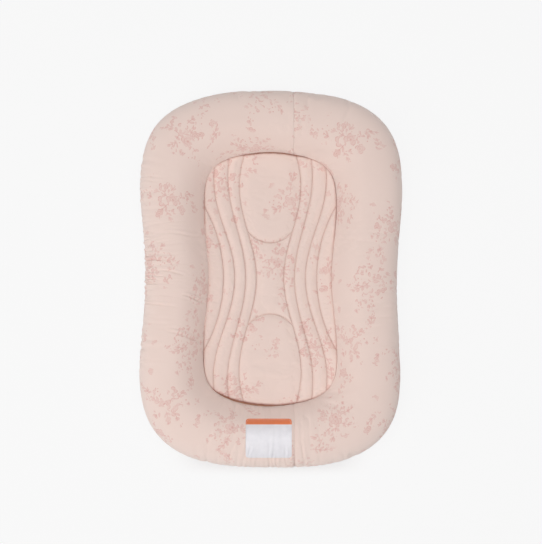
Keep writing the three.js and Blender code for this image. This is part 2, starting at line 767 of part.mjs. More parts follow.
piece("ring_cover_right", coverHalf(footSeam - ringSteps, headSeam), printedCotton);
piece("ring_cover_left", coverHalf(headSeam, footSeam), printedCotton);
piece("bolster_liner", bolsterLiner(), linerCotton);
piece("bolster_fill", bolsterFill(), fibre);
piece("quilt_face", quiltFace(), printedCotton);
piece("pad_pocket", padPocket(), linerCotton);
piece("pad_foam", padFoam(), foam);
piece("base_panel_left", basePanel(-1), plainCotton);
piece("base_panel_right", basePanel(1), plainCotton);
piece("zip_tape_left", zipTape(-1), zipWebbing);
piece("zip_tape_right", zipTape(1), zipWebbing);
piece("zip_coil_left", zipCoil(-1), zipNylon);
piece("zip_coil_right", zipCoil(1), zipNylon);
piece("zip_top_stop_left", topStop(-1), zipMetal);
piece("zip_top_stop_right", topStop(1), zipMetal);
piece("zip_bottom_stop", bottomStop(), zipMetal);
piece("zip_slider", zipSlider(), zipMetal);
piece("zip_pull", zipPull(), zipMetal);
piece("cloth_patch", clothPatch(), patchSatin);

export default lounger;
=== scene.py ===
import json
import math

import bpy
import numpy as np
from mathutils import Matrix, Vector, kdtree
from mathutils.bvhtree import BVHTree

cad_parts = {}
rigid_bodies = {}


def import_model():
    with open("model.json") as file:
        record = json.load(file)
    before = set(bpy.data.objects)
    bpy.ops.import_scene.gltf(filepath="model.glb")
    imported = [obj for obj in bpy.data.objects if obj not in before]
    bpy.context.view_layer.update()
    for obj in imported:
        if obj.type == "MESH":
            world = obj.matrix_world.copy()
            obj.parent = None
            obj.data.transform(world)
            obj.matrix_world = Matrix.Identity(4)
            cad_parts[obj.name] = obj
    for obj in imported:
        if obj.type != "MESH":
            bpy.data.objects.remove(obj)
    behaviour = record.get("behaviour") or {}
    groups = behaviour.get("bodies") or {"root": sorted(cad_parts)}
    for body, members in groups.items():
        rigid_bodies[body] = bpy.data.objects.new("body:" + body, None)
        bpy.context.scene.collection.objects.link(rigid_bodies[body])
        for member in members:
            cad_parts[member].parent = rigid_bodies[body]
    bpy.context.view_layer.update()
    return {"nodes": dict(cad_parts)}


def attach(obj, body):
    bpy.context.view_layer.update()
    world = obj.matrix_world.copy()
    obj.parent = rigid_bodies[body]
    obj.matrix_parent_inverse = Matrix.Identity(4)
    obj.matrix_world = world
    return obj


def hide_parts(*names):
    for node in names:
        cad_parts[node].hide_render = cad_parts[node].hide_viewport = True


for leftover in list(bpy.data.objects):
    bpy.data.objects.remove(leftover)
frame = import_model()
print("frame loaded:", len(frame["nodes"]), "nodes")

scene = bpy.context.scene
scene.view_settings.view_transform = "Standard"


def linear(red, green, blue):  # a screen colour, 0 to 255, as shader values
    steps = [c / 255 for c in (red, green, blue)]
    return [c / 12.92 if c <= 0.04045 else ((c + 0.055) / 1.055) ** 2.4 for c in steps] + [1]


# camera and light

photoView = {
    "elevation": 86.0,  # degrees above the floor, from the foot end
    "distance": 2.6,
    "aim": (0, 0, 0.046),  # the height at which the outline is widest
    "metresPerPixel": 0.002036,
    "image": (542, 544),
    "objectAt": (270.2, 277.9),  # where the lounger's middle lies in the picture
    "sensor": 36.0,
    "clip": (0.05, 50),
}


def standAt(name, data, place, way):  # a camera or a lamp at its place, turned the way it looks
    holder = bpy.data.objects.new(name, data)
    scene.collection.objects.link(holder)
    holder.location = place
    holder.rotation_mode = "QUATERNION"
    holder.rotation_quaternion = way.to_track_quat("-Z", "Y")
    return holder


def addCamera(v):
    data = bpy.data.cameras.new("photoCamera")
    tilt = math.radians(v["elevation"])
    back = Vector((0, -math.cos(tilt), math.sin(tilt)))
    scene.camera = standAt("photoCamera", data, Vector(v["aim"]) + back * v["distance"], -back)
    longSide = max(v["image"])
    data.sensor_width = v["sensor"]
    data.lens = v["sensor"] * v["distance"] / (longSide * v["metresPerPixel"])
    data.shift_x = (v["image"][0] / 2 - v["objectAt"][0]) / longSide
    data.shift_y = (v["objectAt"][1] - v["image"][1] / 2) / longSide
    data.clip_start, data.clip_end = v["clip"]


lampTarget = (0, 0, 0.05)
lamps = {  # place, size, power and colour of each round soft box
    "keyLamp": {"at": (-1.7, -1.5, 2.4), "size": 2.4, "watts": 29.1, "colour": (1.0, 0.988, 0.977)},
    "fillLamp": {"at": (2.3, 0.0, 2.2), "size": 2.4, "watts": 2, "colour": (0.98, 0.99, 1.0)},
    "topLamp": {"at": (0.0, 0.0, 3.2), "size": 2.4, "watts": 50, "colour": (1.0, 0.998, 0.996)},
}


def addLamps():
    for name, lamp in lamps.items():
        data = bpy.data.lights.new(name, "AREA")
        data.shape, data.size = "DISK", lamp["size"]
        data.energy, data.color = lamp["watts"], lamp["colour"]
        standAt(name, data, lamp["at"], Vector(lampTarget) - Vector(lamp["at"]))


# shader maths

class Wire:  # a shader value that Python's operators work on
    def __init__(self, graph, socket):
        self.graph, self.socket = graph, socket

    def __add__(self, other):
        return self.graph.maths("ADD", self, other)

    __radd__ = __add__

    def __mul__(self, other):
        return self.graph.maths("MULTIPLY", self, other)

    __rmul__ = __mul__

    def __sub__(self, other):
        return self.graph.maths("SUBTRACT", self, other)

    def __rsub__(self, other):
        return self.graph.maths("SUBTRACT", other, self)

    def __truediv__(self, other):
        return self.graph.maths("DIVIDE", self, other)

    def __pow__(self, other):
        return self.graph.maths("POWER", self, other)

    def __abs__(self):
        return self.graph.maths("ABSOLUTE", self)


class Graph:  # the nodes of one material, or of the world
    def __init__(self, owner):
        owner.use_nodes = True
        self.owner, self.tree = owner, owner.node_tree

    def add(self, kind, settings=None, feeds=None, out=0):
        node = self.tree.nodes.new(kind)
        for name, value in (settings or {}).items():
            setattr(node, name, value)
        for key, value in (feeds or {}).items():
            self.feed(node.inputs[key], value)
        return Wire(self, node.outputs[out])

    def feed(self, socket, value):
        if isinstance(value, Wire):
            self.tree.links.new(value.socket, socket)
        else:
            socket.default_value = value

    def maths(self, operation, *values, clamp=False):
        settings = {"operation": operation, "use_clamp": clamp}
        return self.add("ShaderNodeMath", settings, dict(enumerate(values)))

    def most(self, first, *others):
        for other in others:
            first = self.maths("MAXIMUM", first, other)
        return first

    def vectors(self, operation, *values, out=0, **more):
        feeds = {**dict(enumerate(values)), **more}
        return self.add("ShaderNodeVectorMath", {"operation": operation}, feeds, out)

    def turned(self, vector, angle):  # round Z
        feeds = {"Vector": vector, "Angle": angle}
        return self.add("ShaderNodeVectorRotate", {"rotation_type": "Z_AXIS"}, feeds)

    def blendColours(self, factor, first, second):
        settings = {"data_type": "RGBA", "clamp_factor": True}
        return self.add("ShaderNodeMix", settings, {0: factor, 6: first, 7: second}, 2)

    def split(self, vector):
        node = self.tree.nodes.new("ShaderNodeSeparateXYZ")
        self.feed(node.inputs[0], vector)
        return [Wire(self, output) for output in node.outputs]

    def objectPlace(self):
        return self.add("ShaderNodeTexCoord", out=3)

    def noise(self, vector, scale, detail, roughness, out=0):
        feeds = {"Vector": vector, "Scale": scale, "Detail": detail, "Roughness": roughness}
        return self.add("ShaderNodeTexNoise", {"noise_dimensions": "3D"}, feeds, out)

    def fade(self, value, low, high):  # 0 below low and 1 above high, smoothly
        feeds = {0: value, 1: low, 2: high}
        return self.add("ShaderNodeMapRange", {"interpolation_type": "SMOOTHSTEP", "clamp": True}, feeds)

    def bump(self, height, distance, strength=1.0, under=None):
        feeds = {"Height": height, "Distance": distance, "Strength": strength}
        if under is not None:
            feeds["Normal"] = under
        return self.add("ShaderNodeBump", None, feeds)

    def seen(self):  # 1 for rays from the camera, a mirror or a clear piece, and 0 for light that spreads
        path = self.tree.nodes.new("ShaderNodeLightPath")
        rays = [path.outputs[f"Is {kind} Ray"] for kind in ("Camera", "Glossy", "Transmission")]
        return self.most(*[Wire(self, ray) for ray in rays])

    def finish(self, **sockets):
        shader = self.tree.nodes["Principled BSDF"]
        for name, value in sockets.items():
            self.feed(shader.inputs[name.replace("_", " ")], value)
        return self.owner


# fabric finishes

printDesign = {  # a scattered flower print; lengths in metres, directions in degrees
    # how often a cell of the scatter holds its motif, and how far the motif moves about in it
    "sprays": {"cell": 0.134, "turn": 17.0, "share": 0.82, "play": 0.24},
    "twigs": {"cell": 0.096, "turn": -29.0, "share": 0.55, "play": 0.3},
    "buds": {"cell": 0.056, "turn": 8.0, "share": 0.28, "play": 0.3},
    # flowers: place, radius and turn
    "sprayFlowers": [
        ((0.001, 0.001), 0.0140, 0.0),
        ((-0.023, 0.014), 0.0100, 0.7),
        ((0.018, -0.022), 0.0092, 0.3),
    ],
    "loneFlower": ((0.021, 0.008), 0.0092, 0.4),
    "bud": ((0, 0), 0.0066, 0.0),
    # twigs: foot, direction, length, pitch and width of the leaves, bend
    "sprayTwigs": [
        ((0.008, 0.011), -52, 0.040, 0.0104, 0.0104, 7.0),
        ((-0.009, -0.010), -222, 0.042, 0.0098, 0.0096, -8.0),
        ((0.013, -0.003), 20, 0.034, 0.0096, 0.0084, 6.0),
        ((-0.004, 0.014), -118, 0.030, 0.0090, 0.0078, -7.0),
    ],
    "loneTwig": ((-0.022, -0.005), 8, 0.042, 0.0100, 0.0094, 6.0),
    "berries": ((-0.033, -0.008), 0.0056, 0.0015),  # middle, spread and radius
    "sprayEnds": (0.044, 0.053),  # lone twigs and buds keep out of a spray up to here
    "lineWidth": 0.0011,
    "budShare": 0.8,  # of the lines' width and of the ink, for buds
    "wobble": 0.0024, "wobbleScale": 80,
    "wearScale": 45, "wearFrom": 0.25, "wearTo": 0.65,
    "ink": linear(214, 141, 134),
    "strength": 0.54,
    # a painted shade colour, laid on the cloth in the crease round the pad, in the stitch grooves and on the
    # pad's side wall
    "creaseShadeTone": linear(158, 84, 60),
}
petalShape = {  # shares of a flower's radius or of its colour
    "petals": 5, "dip": 0.40, "roundness": 0.6,
    "outline": 0.93, "foldWidth": (0.06, 0.26), "foldFrom": (0.25, 0.4), "eye": (0.14, 0.24),
    "ring": 0.42, "ringWave": 0.1, "ringTurn": 0.9,
    "foldInk": 0.7, "ringInk": 0.8, "tint": 0.36,
}
leafShape = {  # shares of a twig's length, of a leaf's size or of its colour
    "taper": 0.45, "slant": 0.8, "halfLength": 0.30, "halfWidth": 0.46,
    "from": (0.1, 0.16), "to": 0.96,
    "rimInk": 0.85, "midribInk": 0.8, "tint": 0.42,
}


def motifCell(g, cloth, scatter):
    # the place inside a scattered cell, turned at random, and whether this cell holds a motif
    size = scatter["cell"]
    scaled = g.vectors("SCALE", g.turned(cloth, math.radians(scatter["turn"])), Scale=1 / size)
    corner = g.vectors("FLOOR", scaled)
    random = {"noise_dimensions": "3D"}
    pick = g.add("ShaderNodeTexWhiteNoise", random, {"Vector": corner}, 1)
    chance = g.add("ShaderNodeTexWhiteNoise", random, {"Vector": g.vectors("ADD", corner, (7.3, 2.9, 5.1))})
    moved = g.vectors("SCALE", g.vectors("SUBTRACT", pick, (0.5, 0.5, 0.5)), Scale=scatter["play"])
    local = g.vectors("SUBTRACT", scaled, g.vectors("ADD", corner, moved))
    local = g.vectors("SUBTRACT", local, (0.5, 0.5, 0))
    flat = g.vectors("MULTIPLY", g.vectors("SCALE", local, Scale=size), (1, 1, 0))
    return g.turned(flat, g.split(pick)[2] * (2 * math.pi)), g.maths("LESS_THAN", chance, scatter["share"])


def blossom(g, place, line, at, radius, turn):
    # outline, tinted petals, the folds between them and the eye of one flower
    s = petalShape
    x, y, _ = g.split(g.vectors("SUBTRACT", place, (*at, 0)))
    reach = g.maths("SQRT", x * x + y * y)
    swing = g.maths("ARCTAN2", y, x) * (s["petals"] / 2) + turn
    ripple = abs(g.maths("COSINE", swing))
    share = reach / ((ripple ** s["roundness"]) * (s["dip"] * radius) + (1 - s["dip"]) * radius)
    inside = 1 - g.fade(share, 0.94, 1.0)
    edge = 1 - g.fade(abs(share - s["outline"]) * radius, line * 0.3, line)
    folds = (1 - g.fade(ripple, *s["foldWidth"])) * g.fade(share, *s["foldFrom"]) * inside
    inner = abs(g.maths("COSINE", swing + s["ringTurn"]))
    ring = 1 - g.fade(abs(reach - (inner * s["ringWave"] + s["ring"]) * radius), line * 0.3, line * 0.9)
    eye = 1 - g.fade(share, *s["eye"])
    return g.most(edge, folds * s["foldInk"], eye, ring * s["ringInk"], inside * s["tint"])


def twig(g, place, line, start, turn, length, pitch, leaf, bend):
    # a bent stem with pairs of slanting leaves that get smaller towards its tip
    s = leafShape
    moved = g.vectors("SUBTRACT", place, (*start, 0))
    x, y, _ = g.split(g.turned(moved, math.radians(turn)))
    y = abs(y - x * x * bend)
    onStem = g.fade(x, 0.0, 0.001) * (1 - g.fade(x, length * s["to"], length))
    stem = (1 - g.fade(y, line * 0.3, line * 0.8)) * onStem
    across = y / (1 - x * (s["taper"] / length)) - leaf * 0.5
    along = (g.maths("FRACT", (x - y * s["slant"]) / pitch) - 0.5) * pitch
    oval = (along * (1 / (pitch * s["halfLength"]))) ** 2 + (across * (1 / (leaf * s["halfWidth"]))) ** 2
    blade = 1 - g.fade(oval, 0.85, 1.1)
    rim = 1 - g.fade(abs(oval - 0.82), 0.1, 0.4)
    midrib = (1 - g.fade(abs(along), line * 0.15, line * 0.5)) * blade
    leaves = g.most(rim * s["rimInk"], midrib * s["midribInk"], blade * s["tint"])
    first, whole = s["from"]
    return g.most(stem, leaves * g.fade(x, length * first, length * whole) * onStem)


def berries(g, place, at, spread, radius):
    # a loose cluster of four dots
    x, y, _ = g.split(g.vectors("SUBTRACT", place, (*at, 0)))
    dots = []
    for k in range(4):
        turn = 2.1 * k + at[0] * 90
        dx, dy = spread * math.cos(turn), spread * math.sin(turn) * (0.5 + 0.2 * k)
        near = g.maths("SQRT", (x - dx) ** 2 + (y - dy) ** 2)
        dots.append(1 - g.fade(near, radius * 0.6, radius))
    return g.most(*dots)


def flowerPrint(g, cloth, d):
    drift = g.vectors("SUBTRACT", g.noise(cloth, d["wobbleScale"], 2, 0.5, 1), (0.5, 0.5, 0.5))
    cloth = g.vectors("ADD", cloth, g.vectors("SCALE", drift, Scale=d["wobble"]))
    line = d["lineWidth"]
    spray, hasSpray = motifCell(g, cloth, d["sprays"])
    sprayInk = g.most(*[blossom(g, spray, line, *flower) for flower in d["sprayFlowers"]],
                      *[twig(g, spray, line, *shape) for shape in d["sprayTwigs"]],
                      berries(g, spray, *d["berries"]))
    away = g.fade(g.vectors("LENGTH", spray, out=1), *d["sprayEnds"])
    clear = 1 - hasSpray * (1 - away)
    lone, hasTwig = motifCell(g, cloth, d["twigs"])
    twigInk = g.most(twig(g, lone, line, *d["loneTwig"]), blossom(g, lone, line, *d["loneFlower"]))
    bud, hasBud = motifCell(g, cloth, d["buds"])
    budInk = blossom(g, bud, line * d["budShare"], *d["bud"])
    ink = g.most(sprayInk * hasSpray, twigInk * hasTwig * clear, budInk * hasBud * clear * d["budShare"])
    worn = g.fade(g.noise(cloth, d["wearScale"], 2, 0.55), d["wearFrom"], d["wearTo"]) * 0.5 + 0.5
    return g.maths("MULTIPLY", ink * worn, d["strength"], clamp=True)


weave = {
    "pitch": 0.00085, "height": 0.00006,
    "slub": 0.00012, "slubScale": 260,
    "toneScale": 9, "toneShare": 0.6,
    "threadScale": 420, "threadStretch": 3.5, "threadGloss": 0.08,
}


def clothPlace(g):
    return g.add("ShaderNodeUVMap", {"uv_map": "cloth"})


def weaveHeight(g, cloth):
    x, y, _ = g.split(cloth)
    turns = 2 * math.pi / weave["pitch"]
    return g.maths("SINE", x * turns) * g.maths("SINE", y * turns) * 0.5 + 0.5


def cottonCloth(name, light, dark, sheen=0.18, roughness=0.86, printed=False):
    g = Graph(bpy.data.materials.new(name))
    cloth, w = clothPlace(g), weave
    tone = g.noise(cloth, w["toneScale"], 3, 0.55)
    thread = g.noise(g.vectors("MULTIPLY", cloth, (1, w["threadStretch"], 1)), w["threadScale"], 2, 0.6)
    mottle = g.maths("MULTIPLY", tone * w["toneShare"] + thread * (1 - w["toneShare"]), 1.0, clamp=True)
    base = g.blendColours(mottle, linear(*dark), linear(*light))
    if printed:
        base = g.blendColours(flowerPrint(g, cloth, printDesign), base, printDesign["ink"])
        # painted shade: the cloth is darkened towards a brown shade colour where the mesh attribute says, in
        # the crease round the pad, along the stitch grooves and on the pad's side wall
        deep = g.add("ShaderNodeAttribute", {"attribute_name": "paintedShade"}, out=2)
        base = g.blendColours(deep, base, printDesign["creaseShadeTone"])
    under = g.bump(g.noise(cloth, w["slubScale"], 3, 0.55), w["slub"], 0.5)
    return g.finish(Base_Color=base, Normal=g.bump(weaveHeight(g, cloth), w["height"], 0.7, under),
                    Roughness=thread * w["threadGloss"] + roughness - w["threadGloss"] / 2,
                    Sheen_Weight=sheen, Sheen_Roughness=0.45, Diffuse_Roughness=0.5, Specular_IOR_Level=0.25)


threadTwist = {"turns": 9000, "height": 0.0001}


def threadFinish(name, low, high):
    g = Graph(bpy.data.materials.new(name))
    x, y, z = g.split(g.objectPlace())
    twist = g.maths("SINE", (x + y + z) * threadTwist["turns"]) * 0.5 + 0.5
    base = g.blendColours(twist, linear(*low), linear(*high))
    return g.finish(Base_Color=base, Roughness=0.6, Sheen_Weight=0.2,
                    Normal=g.bump(twist, threadTwist["height"], 0.5))


patchDesign = {
    "band": linear(238, 130, 79),
    "satin": linear(246, 243, 247),
    "shade": linear(228, 226, 232),
    "bandShare": 0.142, "bandEdge": 0.006,
    "weft": 0.0006, "weftHeight": 0.00005,
    "cloudScale": 70, "cloudHeight": 0.0004,
}


def satinFinish():
    g = Graph(bpy.data.materials.new("patchSatin"))
    cloth, d = clothPlace(g), patchDesign
    weft = g.maths("SINE", g.split(cloth)[1] * (2 * math.pi / d["weft"])) * 0.5 + 0.5
    cloudy = g.noise(cloth, d["cloudScale"], 3, 0.6)
    white = g.blendColours(cloudy, d["shade"], d["satin"])
    split = 1 - d["bandShare"]
    share = g.split(g.add("ShaderNodeUVMap", {"uv_map": "share"}))[1]
    base = g.blendColours(g.fade(share, split - d["bandEdge"], split + d["bandEdge"]), white, d["band"])
    return g.finish(Base_Color=base, Roughness=weft * 0.1 + 0.38, Sheen_Weight=0.25,
                    Normal=g.bump(weft, d["weftHeight"], 0.5, g.bump(cloudy, d["cloudHeight"], 0.5)))


zipLook = {
    "nylonLow": linear(214, 190, 181), "nylonHigh": linear(230, 208, 200),
    "nylonScale": 900, "nylonGrain": 0.00004,
    "enamelLow": linear(216, 192, 184), "enamelHigh": linear(226, 203, 195),
    "bareMetal": linear(190, 188, 186),
    "enamelScale": 500, "enamelGrain": 0.00005,
    "wearScale": 1400, "wearFrom": 0.62, "wearTo": 0.72,
}


def nylonFinish():
    g, d = Graph(bpy.data.materials.new("zipNylon")), zipLook
    tone = g.noise(g.objectPlace(), d["nylonScale"], 2, 0.5)
    base = g.blendColours(tone, d["nylonLow"], d["nylonHigh"])
    return g.finish(Base_Color=base, Roughness=tone * 0.12 + 0.34, Normal=g.bump(tone, d["nylonGrain"], 0.4))


def enamelFinish():
    g, d = Graph(bpy.data.materials.new("zipEnamel")), zipLook
    place = g.objectPlace()
    tone = g.noise(place, d["enamelScale"], 3, 0.6)
    worn = g.fade(g.noise(place, d["wearScale"], 4, 0.7), d["wearFrom"], d["wearTo"])
    paint = g.blendColours(tone, d["enamelLow"], d["enamelHigh"])
    base = g.blendColours(worn * 0.5, paint, d["bareMetal"])
    return g.finish(Base_Color=base, Roughness=tone * 0.15 + 0.3, Metallic=worn * 0.8, Coat_Weight=0.3,
                    Normal=g.bump(tone, d["enamelGrain"], 0.4))


def addMaterials():
    return {
        "printed": cottonCloth("blushPrintedCotton", (244, 226, 218), (238, 218, 210), printed=True),
        "plain": cottonCloth("blushPlainCotton", (244, 227, 219), (237, 218, 210)),
        "liner": cottonCloth("linerCotton", (240, 237, 231), (230, 226, 219)),
        "fibre": cottonCloth("fibreFilling", (246, 245, 242), (232, 231, 228), sheen=0.4),
        "foam": cottonCloth("padFoam", (242, 234, 210), (232, 222, 196), sheen=0.05, roughness=0.95),
        "tape": cottonCloth("zipWebbing", (228, 205, 196), (214, 190, 181), roughness=0.75),
        "thread": threadFinish("sewingThread", (186, 140, 126), (206, 164, 150)),
        # the brown of a cord laid in the crease round the pad, as painted shade there
        "creaseCordShade": threadFinish("creaseShadeCord", (168, 119, 94), (186, 137, 110)),
        "whiteThread": threadFinish("patchThread", (226, 224, 226), (240, 239, 241)),
        "satin": satinFinish(),
        "nylon": nylonFinish(),
        "enamel": enamelFinish(),
    }


# surround and floor

surround = {"light": 0.285, "shown": linear(250, 250, 250)}


def addSurround():  # an even light that the camera sees as a pale wall
    scene.world = bpy.data.worlds.new("surround")
    g = Graph(scene.world)
    light = g.add("ShaderNodeBackground", None, {"Strength": surround["light"]})
    shown = g.add("ShaderNodeBackground", None, {"Color": surround["shown"]})
    mix = g.add("ShaderNodeMixShader", None, {0: g.seen(), 1: light, 2: shown})
    g.feed(g.tree.nodes["World Output"].inputs["Surface"], mix)


floorMake = {
    "size": 12.0, "shown": linear(250, 250, 250), "cast": linear(244, 244, 245),
    "shadowShare": 0.09,  # how much of the true shadow the camera sees
    "footShare": 0.40,  # and how much of it at the foot end, in a stretch of the floor
    "footFrom": (0.30, 0.375), "footTo": (0.382, 0.405), "footHalf": (0.12, 0.22),
    "fadeOut": (0.7, 2.2),
}


def addFloor():
    bpy.ops.object.select_all(action="DESELECT")
    f = floorMake
    bpy.ops.mesh.primitive_plane_add(size=f["size"])
    floor = bpy.context.object
    floor.name = "studioFloor"
    g = Graph(bpy.data.materials.new("studioFloorPaint"))
    matt = g.add("ShaderNodeBsdfDiffuse", None, {"Color": f["cast"]})
    glow = g.add("ShaderNodeEmission", None, {"Color": f["shown"], "Strength": 1.0})
    x, y, _ = g.split(g.objectPlace())
    near = g.fade(y * -1, *f["footFrom"]) * (1 - g.fade(y * -1, *f["footTo"]))
    near = near * (1 - g.fade(abs(x), *f["footHalf"]))
    share = near * (f["footShare"] - f["shadowShare"]) + f["shadowShare"]
    share = share * (1 - g.fade(g.maths("SQRT", x * x + y * y), *f["fadeOut"]))
    mix = g.add("ShaderNodeMixShader", None, {0: g.seen() * (1 - share), 1: matt, 2: glow})
    g.feed(g.tree.nodes["Material Output"].inputs["Surface"], mix)
    floor.data.materials.append(g.owner)


# the lounger's outlines, as in its drawing

def halfWidthAt(y, o):  # of an outline o, whose sides draw in at mid-length
    along = np.minimum(1, np.abs(y) / o["halfLength"])
    oblong = (1 - along ** o["sidePower"]) ** (1 / o["endPower"])
    drawn = np.where(along < o["shoulder"], np.cos(math.pi / 2 * along / o["shoulder"]) ** 2, 0)
    return o.get("swell", 1) * o["halfWidth"] * oblong - o["waist"] * drawn


def outline(**sizes):
    o = dict(sizes, swell=1.0)
    y = np.linspace(0, o["halfLength"], 1201)
    for _ in range(8):  # swelled until its widest place has the width asked for
        o["swell"] *= o["halfWidth"] / halfWidthAt(y, o).max()
    return o


bolster = outline(halfLength=0.381, halfWidth=0.266, waist=0.010,
                  sidePower=6.2, endPower=2.45, shoulder=0.53)
pad = outline(halfLength=0.260, halfWidth=0.136, waist=0.012,
              sidePower=10, endPower=1.8, shoulder=0.62)
spine = {key: (bolster[key] + pad[key]) / 2 for key in pad}

section = {
    "height": 0.1042, "equator": 0.046, "creaseHeight": 0.031, "baseSeamHeight": 0.008,
    "crownPower": 2.3, "underPower": 3.0,
    "joinSeam": 0.048,
    "innerEase": 2.5,  # how much softer the slope towards the pad is than the outer one
    "typicalHalf": 0.065,  # half the bolster's width, for distances along the cloth
}


def traceQuarter(o, steps):
    turn = math.pi / 2 * np.linspace(0, 1, steps + 1) ** (o["sidePower"] / 2)
    y = o["halfLength"] * np.sin(turn) ** (2 / o["sidePower"])
    x = np.maximum(0, halfWidthAt(y, o))
    x[-1], y[-1] = 0, o["halfLength"]
    return np.stack([x, y], 1)


def traceLoop(o, steps):  # anticlockwise from the middle of the right side
    quarter = traceQuarter(o, steps)
    return np.concatenate([quarter, quarter[-2::-1] * (-1, 1),
                           quarter[1:] * (-1, -1), quarter[-2:0:-1] * (1, -1)])


def reachTo(o, at, way, longest, startsInside):  # how far each point is from an outline, by halving
    near, far = np.zeros(len(at)), np.broadcast_to(longest, len(at)).astype(float)
    for _ in range(45):
        middle = (near + far) / 2
        x, y = (at + way * middle[:, None]).T
        inside = (np.abs(x) < halfWidthAt(y, o)) & (np.abs(y) < o["halfLength"])
        near = np.where(inside == startsInside, middle, near)
        far = np.where(inside == startsInside, far, middle)
    return near


def runAlong(line):  # distance from a line's start to each of its points
    return np.concatenate([[0], np.cumsum(np.hypot(*np.diff(line, axis=0).T))])


spinePoints = traceLoop(spine, 4000)
spinePoints = np.vstack([spinePoints, spinePoints[:1]])
spineAlong = runAlong(spinePoints)
ringLength = spineAlong[-1]
headSeam = spineAlong[np.argmax((spinePoints[:, 0] < section["joinSeam"]) & (spinePoints[:, 1] > 0))]
footSeam = ringLength - headSeam


# how far the stuffed outline lies outside the drawn one, in millimetres, by direction in degrees
outlineShift = [
    (0, 0), (18, 1), (34, 2.4), (43, 5.0), (52, 2.6), (66, 1.8), (84, 2.4), (106, 2.4), (118, 0.2),
    (142, -0.4), (156, -3.6), (172, -4.2), (190, -4.0), (206, -3.8), (220, -0.6), (234, -1.8), (248, 0.8),
    (270, 0.2), (282, 2.6), (292, 3.2), (302, 0.2), (316, -1.2), (330, -4.2), (342, -3.0), (352, -1.4),
]


def directionOf(points):  # in degrees, from the pad's middle
    return np.degrees(np.arctan2(points[..., 1], points[..., 0])) % 360


def easedShift():
    degrees, window = np.arange(0, 360, 0.5), np.hanning(41)
    rough = np.interp(degrees, *zip(*outlineShift), period=360) / 1000
    margin = len(window) // 2
    wrapped = np.concatenate([rough[-margin:], rough, rough[:margin]])
    return degrees, np.convolve(wrapped, window / window.sum(), "valid")


shiftAt, shiftBy = easedShift()
stationMake = {"ahead": 0.004, "straightens": 0.045, "longest": 0.2, "inwardShare": 0.9}


def ringGap(along, place):  # the shorter way round from a place on the ring
    return (along - place + ringLength / 2) % ringLength - ringLength / 2


def stations(places):  # the bolster's spine, the way across it and how far its sides are
    def at(a):
        return np.stack([np.interp(a % ringLength, spineAlong, spinePoints[:, k]) for k in (0, 1)], 1)

    s = stationMake
    points = at(places)
    ahead = at(places + s["ahead"]) - at(places - s["ahead"])
    ahead /= np.hypot(*ahead.T)[:, None]
    across = np.stack([ahead[:, 1], -ahead[:, 0]], 1)
    for seam, way in ((headSeam, 1), (footSeam, -1)):  # the join seams run straight down the picture
        across += ((0, way) - across) * np.exp(-(ringGap(places, seam) / s["straightens"]) ** 2)[:, None]
    across /= np.hypot(*across.T)[:, None]
    outward = reachTo(bolster, points, across, s["longest"], True)
    tip = points + across * outward[:, None]
    outward = outward + np.interp(directionOf(tip), shiftAt, shiftBy, period=360)
    inward = reachTo(pad, points, -across, np.hypot(*points.T) * s["inwardShare"], False)
    return {"at": points, "across": across, "along": places,
            "half": (outward + inward) / 2, "middle": (outward - inward) / 2}


def signedPower(value, power):
    return np.sign(value) * np.abs(value) ** power


def sectionPoint(angle, half, inset):
    s, c = np.sin(angle), np.cos(angle)
    power = 2 / np.where(s > 0, section["crownPower"], section["underPower"])
    rise = np.where(s > 0, section["height"] - section["equator"], section["equator"]) - inset
    up = section["equator"] + signedPower(s, power) * rise
    low, high = section["creaseHeight"], section["height"] - inset
    share = np.clip((up - low) / (high - low), 0, 1)
    eased = low + (high - low) * share ** section["innerEase"]
    up = np.where((c > 0) & (up > low), eased, up)
    return -signedPower(c, power) * (half - inset), up


def angleUnder(height):
    return math.asin(((section["equator"] - height) / section["equator"]) ** (section["underPower"] / 2))


creaseAngle = -angleUnder(section["creaseHeight"])
baseAngle = math.pi + angleUnder(section["baseSeamHeight"])


def sectionRun(start, end, steps):  # angles round the section and the distance along it
    angles = np.linspace(start, end, steps)
    return angles, runAlong(np.stack(sectionPoint(angles, section["typicalHalf"], 0.0), 1))


def evenAngles(start, end, spacing):  # angles whose points lie evenly along the section
    fine, along = sectionRun(start, end, 6000)
    count = max(2, round(along[-1] / spacing) + 1)
    return np.interp(np.linspace(0, along[-1], count), along, fine)


def acrossCloth(angles):  # distance along the section from the crest, positive outwards
    fine, along = sectionRun(-0.6, 2 * math.pi, 12000)
    return np.interp(angles, fine, along) - np.interp(math.pi / 2, fine, along)


def sheetPlan(st, angles):  # the cloth laid flat beside the spine, for its print
    return st["at"][:, None, :] + st["across"][:, None, :] * acrossCloth(angles)[None, :, None]


def ringGrid(st, angles, insets):
    insets = np.broadcast_to(insets, len(angles))[None, :]
    out, up = sectionPoint(angles[None, :], st["half"][:, None], insets)
    distance = st["middle"][:, None] + out
    flat = st["at"][:, None, :] + st["across"][:, None, :] * distance[:, :, None]
    return np.concatenate([flat, np.broadcast_to(up, distance.shape)[:, :, None]], 2)


# mesh helpers

def latticeNoise(u, v, seed, size=64):  # smooth noise from -1 to 1, with a unit spacing
    grid = np.random.default_rng(seed).uniform(-1, 1, (size, size))
    iu, iv = np.floor(u).astype(int), np.floor(v).astype(int)
    fu, fv = u - iu, v - iv
    fu, fv = fu * fu * (3 - 2 * fu), fv * fv * (3 - 2 * fv)
    a, b = grid[iu % size, iv % size], grid[(iu + 1) % size, iv % size]
    c, d = grid[iu % size, (iv + 1) % size], grid[(iu + 1) % size, (iv + 1) % size]
    return (a * (1 - fu) + b * fu) * (1 - fv) + (c * (1 - fu) + d * fu) * fv


def smoothRise(value, low, high):
    t = np.clip((value - low) / (high - low), 0, 1)
    return t * t * (3 - 2 * t)


